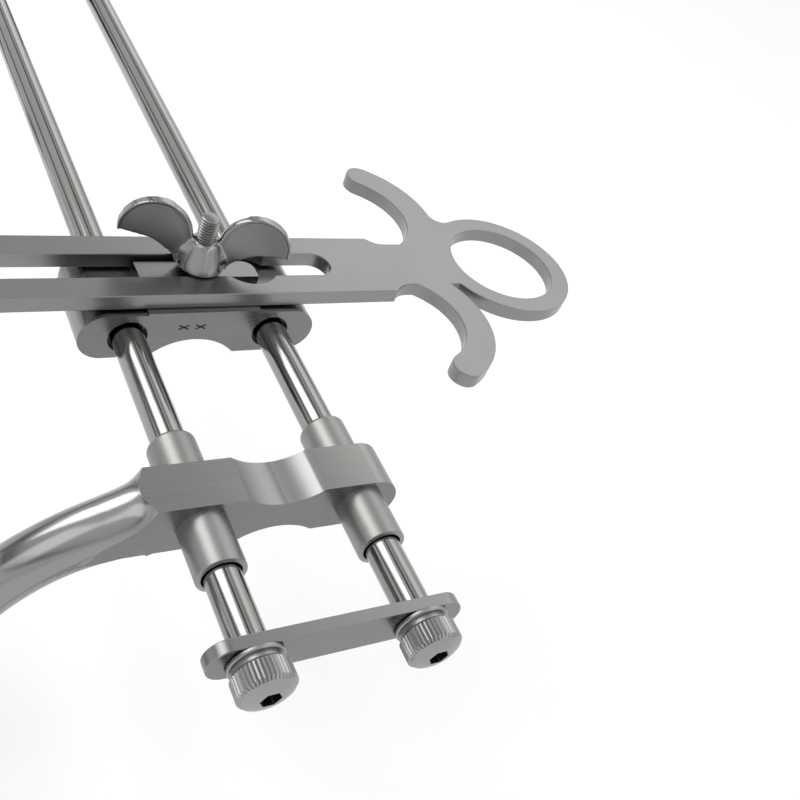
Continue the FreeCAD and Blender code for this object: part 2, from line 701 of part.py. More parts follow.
def strap_profile(path_radius, thick, right, left, top, foot):
    """Return the side face of a strap that lies flat, bends down and hangs."""
    inner = path_radius - thick
    centre = Vector(left, 0, top - path_radius)
    half = math.sqrt(0.5)
    outer_middle = centre + Vector(-half, 0, half) * path_radius
    inner_middle = centre + Vector(-half, 0, half) * inner
    points = [
        Vector(right, 0, top), Vector(left, 0, top), Vector(left - path_radius, 0, centre.z),
        Vector(left - path_radius, 0, foot), Vector(left - inner, 0, foot),
        Vector(left - inner, 0, centre.z), Vector(left, 0, top - thick), Vector(right, 0, top - thick),
    ]
    edges = [
        Part.LineSegment(points[0], points[1]).toShape(),
        Part.Arc(points[1], outer_middle, points[2]).toShape(),
        Part.LineSegment(points[2], points[3]).toShape(),
        Part.LineSegment(points[3], points[4]).toShape(),
        Part.LineSegment(points[4], points[5]).toShape(),
        Part.Arc(points[5], inner_middle, points[6]).toShape(),
        Part.LineSegment(points[6], points[7]).toShape(),
        Part.LineSegment(points[7], points[0]).toShape(),
    ]
    return Part.Face(Part.Wire(edges))


def blade_profile(face_x, thick, top, foot, radius, angle):
    """Return the blade's section: a straight wall whose foot turns out into a lip."""
    centre = Vector(face_x + radius, 0, foot)
    turn = math.radians(angle)

    def on_lip(reach, at):
        return centre + Vector(-math.cos(at), 0, -math.sin(at)) * reach

    near = radius
    far = radius + thick
    edges = [
        Part.LineSegment(Vector(face_x - thick, 0, top), on_lip(far, 0)).toShape(),
        Part.Arc(on_lip(far, 0), on_lip(far, turn / 2), on_lip(far, turn)).toShape(),
        Part.LineSegment(on_lip(far, turn), on_lip(near, turn)).toShape(),
        Part.Arc(on_lip(near, turn), on_lip(near, turn / 2), on_lip(near, 0)).toShape(),
        Part.LineSegment(on_lip(near, 0), Vector(face_x, 0, top)).toShape(),
        Part.LineSegment(Vector(face_x, 0, top), Vector(face_x - thick, 0, top)).toShape(),
    ]
    return Part.Face(Part.Wire(edges))


# Centre blade: a curved blade with a lip, hung from the bar by a bent tang
def centre_blade():
    top = size("seat_height") + size("slide_gap")
    width = 2 * size("tang_half_width")
    thick = size("tang_thick")
    bend = size("blade_bend")
    side = strap_profile(bend, thick, size("tang_right"), size("bar_left"), top, size("blade_top") - thick)
    side.translate(Vector(0, -width / 2, 0))
    tang = shaped("blade_tang", side.extrude(Vector(0, width, 0)))
    face_x = size("bar_left") - bend + thick
    section = blade_profile(face_x, size("blade_thick"), size("blade_top"), size("blade_foot"),
                            size("lip_radius"), size("lip_angle"))
    axis = Vector(face_x - size("blade_curve"), 0, 0)
    section.rotate(axis, Vector(0, 0, 1), -size("blade_half_angle"))
    wall = shaped("blade_wall", section.revolve(axis, Vector(0, 0, 1), 2 * size("blade_half_angle")))
    blank = fuse("blade_blank", [tang, wall])
    holes = [rod("blade_%s_rivet_hole" % name, "rivet_radius", "2 * tang_thick",
                 ("rivet_" + name, "0", "seat_height + slide_gap - 1.5 * tang_thick"))
             for name in ("first", "second")]
    finish(cut("centre_blade", blank, holes), "centre_blade")


# Rivets: flush in the bar's top, headed under the tang
def blade_rivets():
    rivets = []
    for name in ("first", "second"):
        x = "rivet_" + name
        under = "seat_height + slide_gap - tang_thick"
        shank = rod("rivet_%s_shank" % name, "rivet_radius", "tang_thick + bar_thick", (x, "0", under))
        head = rod("rivet_%s_head" % name, "rivet_head_radius", "rivet_head_thick",
                   (x, "0", under + " - rivet_head_thick"))
        rivets.append(fuse("rivet_%s_whole" % name, [shank, head]))
    group = doc.addObject("Part::Compound", "blade_rivets")
    group.Links = rivets
    finish(group, "blade_rivets")


def rounded_route(points, radii):
    """Return straight edges through points, with a tangent arc at each inner one."""
    edges = []
    start = points[0]
    for before, corner, after, radius in zip(points, points[1:], points[2:], radii):
        come = (corner - before).normalize()
        leave = (after - corner).normalize()
        turn = come.getAngle(leave)
        back = radius * math.tan(turn / 2)
        enter = corner - come * back
        exit_point = corner + leave * back
        bisector = (leave - come).normalize()
        centre = corner + bisector * (radius / math.cos(turn / 2))
        middle = centre - bisector * radius
        edges.append(Part.LineSegment(start, enter).toShape())
        edges.append(Part.Arc(enter, middle, exit_point).toShape())
        start = exit_point
    edges.append(Part.LineSegment(start, points[-1]).toShape())
    return edges


# Side blade: a wire loop welded to a hub, whose shank swivels in the arm's eye
def side_blade(side, plane, outward):
    eye = eye_place()
    base = Vector(eye.x, plane, eye.z)
    half_eye = size("eye_height") / 2
    float_gap = size("end_float")
    under = -half_eye - float_gap

    pin = rod(side + "_pin_body", "swivel_radius", "eye_height + 2 * end_float + collar_thick",
              ("0", "0", "-eye_height / 2 - end_float - collar_thick"))
    thread = rod(side + "_pin_thread", "thread_radius", "cap_height - cap_crown",
                 ("0", "0", "eye_height / 2 + end_float"))
    collar = rod(side + "_collar", "collar_radius", "collar_thick",
                 ("0", "0", "-eye_height / 2 - end_float - collar_thick"))
    hub_top = "-eye_height / 2 - end_float - collar_thick"
    hub = box(side + "_hub", ("-hub_half_length", "-hub_half_width", hub_top + " - hub_height"),
              ("hub_half_length", "hub_half_width", hub_top))
    hub = round_edges(side + "_hub_rounded", hub, size("hub_half_width") * 0.8, upright)
    shank = fuse(side + "_blade_shank", [pin, thread, collar, hub])
    finish(shank, side + "_blade_shank")
    shank.Placement = FreeCAD.Placement(base, UP)

    cap = rod(side + "_cap_body", "cap_radius", "cap_height - cap_crown", ("0", "0", "eye_height / 2 + end_float"))
    crown = cone(side + "_cap_crown", "cap_radius", "cap_radius - cap_crown", "cap_crown",
                 ("0", "0", "eye_height / 2 + end_float + cap_height - cap_crown"))
    socket = rod(side + "_cap_hole", "thread_radius", "cap_height - cap_crown",
                 ("0", "0", "eye_height / 2 + end_float"))
    cap_nut = cut(side + "_cap_nut", fuse(side + "_cap_blank", [cap, crown]), [socket])
    finish(cap_nut, side + "_cap_nut")
    cap_nut.Placement = FreeCAD.Placement(base, UP)

    top = under - size("collar_thick") - size("hub_height") / 2
    wide = size("loop_half_width")
    knee = top - size("loop_drop")
    foot = knee - size("loop_flare_down")
    flare = outward * size("loop_flare_out")
    inner = size("hub_half_length")
    points = [
        Vector(inner, 0, top), Vector(wide, 0, top), Vector(wide, 0, knee), Vector(wide, flare, foot),
        Vector(-wide, flare, foot), Vector(-wide, 0, knee), Vector(-wide, 0, top), Vector(-inner, 0, top),
    ]
    corners = [size("loop_corner"), size("loop_flare_bend"), size("loop_foot_corner")]
    route = rounded_route(points, corners + corners[::-1])
    loop = shaped(side + "_blade_loop", bent_rod(size("wire_radius"), route))
    finish(loop, side + "_blade_loop")
    loop.Placement = FreeCAD.Placement(base, UP)


def check_and_write():
    """Stop on a failed object or a bad solid, then write one STEP file per sub-part."""
    doc.recompute()
    for item in doc.Objects:
        if "Invalid" in item.State or "Error" in item.State:
            raise RuntimeError("%s did not rebuild: %s" % (item.Name, item.State))
    for item in SUB_PARTS:
        if item.Shape.isNull() or not item.Shape.isValid() or not item.Shape.Solids:
            raise RuntimeError("%s has no valid solid" % item.Label)
    os.makedirs("parts", exist_ok=True)
    for item in SUB_PARTS:
        item.Shape.exportStep("parts/%s.step" % item.Label)
        print("%s: %d solid(s), %.0f mm3" % (item.Label, len(item.Shape.Solids), item.Shape.Volume))


for side_name, side_sign in (("left", "-"), ("right", "+")):
    guide_rod(side_name, side_sign)
    thumb_screw(side_name, side_sign)
    sleeve(side_name, side_sign)
end_plate()
arm("sliding_arm", "arm_plane", "sleeve_radius", False)
arm("fixed_arm", FIXED_PLANE, "rod_radius", True)
rod_pins()
carriage_block()
guide_key()
clamp_stud()
wing_nut()
slotted_bar()
centre_blade()
blade_rivets()
side_blade("near", size("arm_plane"), -1)
side_blade("far", size("rod_near_end") + size("rod_length") - size("arm_depth") / 2, 1)
check_and_write()
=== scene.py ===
"""Looks of a self retaining retractor: steel finishes, turned and forged pieces, and a plain studio.

Every piece is modelled in metres in the row frame: X along the slotted bar to its
finger ring, Y along the guide rods away from their end plate, Z up.
"""

import logging
import math
from collections.abc import Callable, Sequence
from dataclasses import dataclass
from enum import Enum

import bmesh
import bpy
from bmesh.types import BMEdge, BMesh, BMVert
from mathutils import Matrix, Vector


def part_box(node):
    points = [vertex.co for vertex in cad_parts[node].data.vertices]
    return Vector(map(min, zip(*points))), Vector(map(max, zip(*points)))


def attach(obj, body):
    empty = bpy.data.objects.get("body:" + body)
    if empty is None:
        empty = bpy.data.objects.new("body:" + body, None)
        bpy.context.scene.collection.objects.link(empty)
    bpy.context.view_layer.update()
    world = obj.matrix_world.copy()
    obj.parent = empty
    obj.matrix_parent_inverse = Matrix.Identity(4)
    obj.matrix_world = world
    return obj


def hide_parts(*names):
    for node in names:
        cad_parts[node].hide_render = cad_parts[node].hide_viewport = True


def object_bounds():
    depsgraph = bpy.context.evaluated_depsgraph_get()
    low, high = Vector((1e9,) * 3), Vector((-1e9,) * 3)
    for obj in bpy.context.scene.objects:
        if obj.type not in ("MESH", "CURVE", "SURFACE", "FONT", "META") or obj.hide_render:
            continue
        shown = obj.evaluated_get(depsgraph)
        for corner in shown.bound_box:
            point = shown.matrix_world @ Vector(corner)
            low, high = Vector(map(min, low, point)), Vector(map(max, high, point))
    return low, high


LOG = logging.getLogger("retractor")
MM = 0.001
Points = Sequence[tuple[float, float]]
SAME_POINT = 0.002 * MM
FLAT_FACE = 0.9995
BLOCK_SHARP = 20.0
TURNED_SHARP = 35.0

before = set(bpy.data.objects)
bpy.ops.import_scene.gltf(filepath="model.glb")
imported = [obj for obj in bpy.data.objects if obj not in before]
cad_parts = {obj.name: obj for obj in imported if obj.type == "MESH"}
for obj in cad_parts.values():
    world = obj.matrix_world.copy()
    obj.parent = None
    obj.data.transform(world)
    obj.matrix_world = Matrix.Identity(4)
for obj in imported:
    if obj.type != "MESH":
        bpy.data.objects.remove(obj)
CAD_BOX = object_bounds()


class Grain(Enum):
    """The direction in which a tool left its marks on a surface."""

    ALONG_X = (1.0, 40.0, 40.0)
    ALONG_Y = (40.0, 1.0, 40.0)
    ALONG_Z = (40.0, 40.0, 1.0)
    SPOTTED = (30.0, 30.0, 30.0)


@dataclass(frozen=True)
class SteelFinish:
    """A stainless steel surface: its tint, gloss and the grain its tool left; on some surfaces the tint also
    paints shade or sheen.

    Attributes:
        name: Name of the material.
        tint: Linear colour of the steel.
        roughness: Middle roughness.
        roughness_spread: How far the grain moves it either way.
        grain: Direction of the tool marks.
        grain_scale: Marks across the grain, per metre, over forty.
        bump: Strength of the grain's relief.
        tone_spread: How far broad soft patches lighten and darken the tint.
        grain_detail: Octaves of the grain.
        grain_mix: How strong each finer octave of the grain is.
        patch_scale: Broad patches per metre.
        patch_detail: Octaves of the broad patches.
        patch_range: Range of both noises' sum that changes the tint.
        relief_depth: Depth of the grain's relief in millimetres.
    """

    name: str
    tint: tuple[float, float, float]
    roughness: float
    roughness_spread: float
    grain: Grain
    grain_scale: float
    bump: float
    tone_spread: float = 0.05
    grain_detail: float = 4.0
    grain_mix: float = 0.6
    patch_scale: float = 45.0
    patch_detail: float = 2.0
    patch_range: tuple[float, float] = (0.6, 1.4)
    relief_depth: float = 0.02

    def material(self) -> bpy.types.Material:
        """Build the node material of this finish.

        Returns:
            The new material.
        """
        steel = bpy.data.materials.new(self.name)
        steel.use_nodes = True
        nodes = steel.node_tree.nodes
        links = steel.node_tree.links
        shader = nodes["Principled BSDF"]
        shader.inputs["Metallic"].default_value = 1.0

        place = nodes.new("ShaderNodeTexCoord")
        stretch = nodes.new("ShaderNodeMapping")
        stretch.inputs["Scale"].default_value = [side * self.grain_scale for side in self.grain.value]
        links.new(place.outputs["Object"], stretch.inputs["Vector"])

        marks = nodes.new("ShaderNodeTexNoise")
        marks.inputs["Scale"].default_value = 1.0
        marks.inputs["Detail"].default_value = self.grain_detail
        marks.inputs["Roughness"].default_value = self.grain_mix
        links.new(stretch.outputs["Vector"], marks.inputs["Vector"])

        gloss = nodes.new("ShaderNodeMapRange")
        gloss.inputs["To Min"].default_value = self.roughness - self.roughness_spread
        gloss.inputs["To Max"].default_value = self.roughness + self.roughness_spread
        links.new(marks.outputs["Fac"], gloss.inputs["Value"])
        links.new(gloss.outputs["Result"], shader.inputs["Roughness"])

        patches = nodes.new("ShaderNodeTexNoise")
        patches.inputs["Scale"].default_value = self.patch_scale
        patches.inputs["Detail"].default_value = self.patch_detail
        links.new(place.outputs["Object"], patches.inputs["Vector"])
        both = nodes.new("ShaderNodeMath")
        both.operation = "ADD"
        links.new(patches.outputs["Fac"], both.inputs[0])
        links.new(marks.outputs["Fac"], both.inputs[1])
        tone = nodes.new("ShaderNodeMapRange")
        tone.inputs["From Min"].default_value, tone.inputs["From Max"].default_value = self.patch_range
        tone.inputs["To Min"].default_value = 1.0 - self.tone_spread
        tone.inputs["To Max"].default_value = 1.0 + self.tone_spread
        links.new(both.outputs["Value"], tone.inputs["Value"])
        colour = nodes.new("ShaderNodeVectorMath")
        colour.operation = "SCALE"
        colour.inputs[0].default_value = self.tint
        links.new(tone.outputs["Result"], colour.inputs["Scale"])
        links.new(colour.outputs["Vector"], shader.inputs["Base Color"])

        relief = nodes.new("ShaderNodeBump")
        relief.inputs["Strength"].default_value = self.bump
        relief.inputs["Distance"].default_value = self.relief_depth * MM
        links.new(marks.outputs["Fac"], relief.inputs["Height"])
        links.new(relief.outputs["Normal"], shader.inputs["Normal"])
        return steel


@dataclass(frozen=True)
class PaintedMarkShade:
    """The near black painted shade of a punched mark's groove.

    Attributes:
        name: Name of the material.
        shade: Middle brightness of the painted shade.
        roughness: Roughness of its ground.
        speck_scale: Specks per metre.
    """

    name: str = "punched_mark_painted_shade"
    shade: float = 0.012
    roughness: float = 0.8
    speck_scale: float = 4000.0

    def material(self) -> bpy.types.Material:
        """Build the node material that paints a punched mark's shade.

        Returns:
            The new material.
        """
        dark = bpy.data.materials.new(self.name)
        dark.use_nodes = True
        nodes = dark.node_tree.nodes
        shader = nodes["Principled BSDF"]
        shader.inputs["Roughness"].default_value = self.roughness
        specks = nodes.new("ShaderNodeTexNoise")
        specks.inputs["Scale"].default_value = self.speck_scale
        place = nodes.new("ShaderNodeTexCoord")
        shade = nodes.new("ShaderNodeMapRange")
        shade.inputs["To Min"].default_value = self.shade * 0.5
        shade.inputs["To Max"].default_value = self.shade * 2.0
        dark.node_tree.links.new(place.outputs["Object"], specks.inputs["Vector"])
        dark.node_tree.links.new(specks.outputs["Fac"], shade.inputs["Value"])
        dark.node_tree.links.new(shade.outputs["Result"], shader.inputs["Base Color"])
        return dark


STEEL = (0.247, 0.246, 0.240)
ROD_STEEL = SteelFinish("ground_rod_steel", (0.28, 0.278, 0.27), 0.13, 0.04, Grain.ALONG_Y, 60.0, 0.25)
BAR_STEEL = SteelFinish("brushed_bar_steel", STEEL, 0.31, 0.06, Grain.ALONG_X, 70.0, 0.35, 0.07)
BLOCK_STEEL = SteelFinish("satin_block_steel", STEEL, 0.27, 0.05, Grain.ALONG_X, 60.0, 0.35, 0.08)
# A darker tint on the faces that look along the rods: painted shade.
SHADED_SIDE_STEEL = SteelFinish("painted_shade_side_steel", (0.195, 0.196, 0.198), 0.27, 0.05,
                         Grain.ALONG_X, 60.0, 0.3, 0.08)
# The scoop's rougher ground face is real; its brighter tint is a painted sheen.
SHEEN_SCOOP_STEEL = SteelFinish("ground_scoop_painted_sheen_steel", (0.30, 0.299, 0.295), 0.38, 0.05,
                          Grain.ALONG_X, 60.0, 0.3, 0.08)
ARM_STEEL = SteelFinish("polished_arm_steel", (0.27, 0.268, 0.263), 0.19, 0.03,
                        Grain.ALONG_X, 40.0, 0.10, 0.04)
SLEEVE_STEEL = SteelFinish("blasted_sleeve_steel", (0.30, 0.297, 0.29), 0.42, 0.05,
                           Grain.SPOTTED, 110.0, 0.6, 0.05)
TURNED_STEEL = SteelFinish("turned_screw_steel", STEEL, 0.30, 0.05, Grain.SPOTTED, 60.0, 0.2, 0.05)
HEAD_STEEL = SteelFinish("knurled_head_steel", (0.31, 0.31, 0.308), 0.38, 0.05,
                         Grain.SPOTTED, 90.0, 0.4, 0.05)
# Near black tint that paints the shade inside the hexagonal socket.
SHADED_SOCKET_STEEL = SteelFinish("painted_shade_socket_steel", (0.03, 0.03, 0.03), 0.5, 0.05,
                           Grain.SPOTTED, 60.0, 0.2, 0.05)
NUT_STEEL = SteelFinish("polished_nut_steel", (0.29, 0.287, 0.28), 0.18, 0.04,
                        Grain.SPOTTED, 40.0, 0.2, 0.05)
# The wings' sunk faces: a rougher forged face, with a darker tint that paints the shade of the recess.
SHADED_RECESS_STEEL = SteelFinish("forged_recess_painted_shade_steel", (0.25, 0.247, 0.242), 0.36, 0.06,
                           Grain.SPOTTED, 60.0, 0.4, 0.08)
BLADE_STEEL = SteelFinish("polished_blade_steel", STEEL, 0.16, 0.04, Grain.ALONG_Z, 40.0, 0.12, 0.04)
# Near black strokes that paint the shade of the punched grooves.
PAINTED_MARK_SHADE = PaintedMarkShade()

_made: dict[str, bpy.types.Material] = {}


def dressed(finish: SteelFinish | PaintedMarkShade) -> bpy.types.Material:
    """Give the one material of a finish, built on first use.

    Args:
        finish: The finish to look up.

    Returns:
        Its material.
    """
    if finish.name not in _made:
        _made[finish.name] = finish.material()
    return _made[finish.name]


@dataclass(frozen=True)
class Seat:
    """What a new piece belongs to.

    Attributes:
        body: CAD body that carries the piece.
        slot: Material slot of the record; not used.
        nodes: CAD nodes that the piece stands for.
    """

    body: str
    slot: str
    nodes: tuple[str, ...] = ()


@dataclass(frozen=True)
class Patch:
    """Faces of a piece that have a finish of their own, some of them a tint that paints shade or sheen.

    Attributes:
        finish: Their finish.
        holds: Tells from a face's middle, in millimetres, and its normal whether the face is one of them.
    """

    finish: SteelFinish
    holds: Callable[[Vector, Vector], bool]


def on_side(_: Vector, normal: Vector) -> bool:
    """Tell whether a face with this normal looks along the guide rods, where a darker tint paints shade."""
    return abs(normal.y) > FLAT_FACE


def finished(name: str, shape: BMesh, finish: SteelFinish | PaintedMarkShade, seat: Seat,
             sharp: float = TURNED_SHARP, patches: tuple[Patch, ...] = ()) -> bpy.types.Object:
    """Turn a bmesh into a dressed piece that rides on its body.

    Args:
        name: Name of the piece.
        shape: The mesh, freed here.
        finish: Its surface.
        seat: The body, slot and CAD nodes it belongs to.
        sharp: Angle in degrees past which an edge stays sharp.
        patches: Faces with another finish, some of them a tint that paints shade or sheen, where the first
            patch that holds a face has it.

    Returns:
        The new object.
    """
    mesh = bpy.data.meshes.new(name)
    shape.to_mesh(mesh)
    shape.free()
    mesh.shade_smooth()
    mesh.set_sharp_from_angle(angle=math.radians(sharp))
    mesh.materials.append(dressed(finish))
    for patch in patches:
        mesh.materials.append(dressed(patch.finish))
    for face in mesh.polygons:
        held = [patch.holds(face.center / MM, face.normal) for patch in patches]
        face.material_index = held.index(True) + 1 if True in held else 0
    piece = bpy.data.objects.new(name, mesh)
    bpy.context.scene.collection.objects.link(piece)
    even = piece.modifiers.new("flat_faces_stay_flat", "WEIGHTED_NORMAL")
    even.keep_sharp = True
    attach(piece, seat.body)
    if seat.nodes:
        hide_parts(*seat.nodes)
    LOG.info("%s: %d faces on %s", name, len(mesh.polygons), seat.body)
    return piece


def arc(centre: tuple[float, float], radius: float, start: float, end: float,
        steps: int) -> list[tuple[float, float]]:
    """Points of a round stretch of a profile, in millimetres.

    Args:
        centre: Centre of the arc.
        radius: Its radius.
        start: First angle in degrees.
        end: Last angle in degrees.
        steps: Number of chords.

    Returns:
        The points in order, both ends included.
    """
    points = []
    for step in range(steps + 1):
        angle = math.radians(start + (end - start) * step / steps)
        points.append((centre[0] + radius * math.cos(angle), centre[1] + radius * math.sin(angle)))
    return points


def turned(profile: Points, steps: int, closed: bool = False) -> BMesh:
    """Spin a profile of radius and height, in millimetres, round the Z axis.

    Args:
        profile: Points of the profile.
        steps: Facets round the axis.
        closed: Whether the profile's last point joins its first, as on a tube.

    Returns:
        The turned mesh.
    """
    shape = bmesh.new()
    points = [shape.verts.new((radius * MM, 0.0, height * MM)) for radius, height in profile]
    edges = [shape.edges.new(pair) for pair in zip(points, points[1:])]
    if closed:
        edges.append(shape.edges.new((points[-1], points[0])))
    bmesh.ops.spin(shape, geom=points + edges, cent=(0, 0, 0), axis=(0, 0, 1), dvec=(0, 0, 0),
                   angle=math.tau, steps=steps, use_merge=True, use_duplicate=False)
    bmesh.ops.remove_doubles(shape, verts=shape.verts, dist=0.001 * MM)
    bmesh.ops.recalc_face_normals(shape, faces=shape.faces)
    return shape


def moved(shape: BMesh, place: Matrix) -> BMesh:
    """Move a mesh by a matrix.

    Args:
        shape: The mesh to move.
        place: The move, in metres.

    Returns:
        The same mesh.
    """
    bmesh.ops.transform(shape, matrix=place, verts=shape.verts)
    return shape


def placed(x: float, y: float, z: float, lean: int = 0) -> Matrix:
    """Place a piece that was turned about Z.

    Args:
        x: Place of its foot along the bar, in millimetres.
        y: Place of its foot along the rods.
        z: Height of its foot.
        lean: Quarter turns about the bar: 0 stands, -1 points along the rods, 1 to the end plate.

    Returns:
        The matrix that moves it there.
    """
    return Matrix.Translation(Vector((x, y, z)) * MM) @ Matrix.Rotation(lean * math.pi / 2, 4, "X")


def node_box(node: str) -> tuple[Vector, Vector]:
    """Find the low and the high corner of a CAD node's box, in millimetres."""
    low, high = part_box(node)
    return low / MM, high / MM


def copied(node: str) -> BMesh:
    """Copy a CAD node's mesh with its points merged."""
    shape = bmesh.new()
    shape.from_mesh(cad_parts[node].data)
    bmesh.ops.remove_doubles(shape, verts=shape.verts, dist=SAME_POINT)
    return shape


def softened(node: str, width: float, flatness: float = 0.5) -> BMesh:
    """Copy a CAD node's mesh, merge its triangles and break its sharp edges.

    Args:
        node: CAD node to copy.
        width: Width of the broken edge in millimetres.
        flatness: Angle in degrees under which neighbouring triangles are one face.

    Returns:
        The new mesh.
    """
    shape = copied(node)
    bmesh.ops.dissolve_limit(shape, angle_limit=math.radians(flatness), verts=shape.verts, edges=shape.edges)
    break_edges(shape, width)
    return shape


def break_edges(shape: BMesh, width: float) -> None:
    """Round the sharp edges of a mesh.

    Args:
        shape: The mesh to change.
        width: Width of the broken edge in millimetres.
    """
    sharp = [edge for edge in shape.edges
             if len(edge.link_faces) == 2 and edge.calc_face_angle(0.0) > math.radians(TURNED_SHARP)]
    bmesh.ops.bevel(shape, geom=sharp, offset=width * MM, offset_type="OFFSET", affect="EDGES",
                    segments=2, profile=0.5, material=-1, clamp_overlap=True)


def cut(shape: BMesh, point: tuple[float, float, float], out: tuple[int, int, int]) -> None:
    """Cut a closed mesh at a plane and close the cut.

    Args:
        shape: The mesh to change.
        point: A point of the plane in millimetres.
        out: Direction of what is taken away.
    """
    bmesh.ops.bisect_plane(shape, geom=shape.verts[:] + shape.edges[:] + shape.faces[:],
                           plane_co=Vector(point) * MM, plane_no=out, clear_outer=True)
    bmesh.ops.holes_fill(shape, edges=[edge for edge in shape.edges if edge.is_boundary], sides=0)


def added(whole: BMesh, part: BMesh) -> None:
    """Add a mesh to another.

    Args:
        whole: The mesh that grows.
        part: The mesh to add, freed here.
    """
    mesh = bpy.data.meshes.new("part")
    part.to_mesh(mesh)
    part.free()
    whole.from_mesh(mesh)
    bpy.data.meshes.remove(mesh)


def blank_of(shape: BMesh) -> bpy.types.Object:
    """Put a mesh into the scene as a blank that modifiers work on.

    Args:
        shape: The mesh, freed here.

    Returns:
        The blank.
    """
    mesh = bpy.data.meshes.new("blank")
    shape.to_mesh(mesh)
    shape.free()
    blank = bpy.data.objects.new("blank", mesh)
    bpy.context.scene.collection.objects.link(blank)
    return blank


def worked(blanks: list[bpy.types.Object]) -> BMesh:
    """Take the first blank as its modifiers leave it, and remove all the blanks.

    Args:
        blanks: The blanks.

    Returns:
        The finished mesh.
    """
    view = bpy.context.evaluated_depsgraph_get()
    shape = bmesh.new()
    shape.from_mesh(blanks[0].evaluated_get(view).to_mesh())
    for blank in blanks:
        mesh = blank.data
        bpy.data.objects.remove(blank)
        bpy.data.meshes.remove(mesh)
    return shape


def joined(stock: list[BMesh]) -> BMesh:
    """Unite closed meshes that overlap into one skin.

    Args:
        stock: The meshes, freed here.

    Returns:
        The united mesh.
    """
    blanks = [blank_of(part) for part in stock]
    for other in blanks[1:]:
        union = blanks[0].modifiers.new("union", "BOOLEAN")
        union.operation = "UNION"
        union.solver = "EXACT"
        union.object = other
    shape = worked(blanks)
    bmesh.ops.remove_doubles(shape, verts=shape.verts, dist=SAME_POINT)
    return shape


@dataclass
class GuideRods:
    """The two ground rods and the end plate across them; the cross pins keep their CAD mesh.

    Attributes:
        facets: Facets round a rod.
        chamfer: Chamfer at a rod's ends in millimetres.
        plate_edge: Width of the end plate's broken edges in millimetres.
    """

    facets: int = 96
    chamfer: float = 0.4
    plate_edge: float = 0.35

    def rod(self, side: str) -> None:
        """Model one rod with broken ends.

        Args:
            side: left or right.
        """
        low, high = node_box(side + "_rod")
        radius = (high.x - low.x) / 2
        length = high.y - low.y
        profile = [(0.0, 0.0), (radius - self.chamfer, 0.0), (radius, self.chamfer),
                   (radius, length - self.chamfer), (radius - self.chamfer, length), (0.0, length)]
        place = placed((low.x + high.x) / 2, low.y, (low.z + high.z) / 2, -1)
        shape = moved(turned(profile, self.facets), place)
        finished(side + "_ground_rod", shape, ROD_STEEL, Seat("frame", "ground_rod", (side + "_rod",)))

    def build(self) -> None:
        """Model the rods and the end plate."""
        for side in ("left", "right"):
            self.rod(side)
        plate = softened("end_plate", self.plate_edge)
        # Faces that look along the rods take a darker tint that paints shade.
        finished("end_strap", plate, BAR_STEEL, Seat("frame", "brushed_steel", ("end_plate",)), BLOCK_SHARP,
                 (Patch(SHADED_SIDE_STEEL, on_side),))


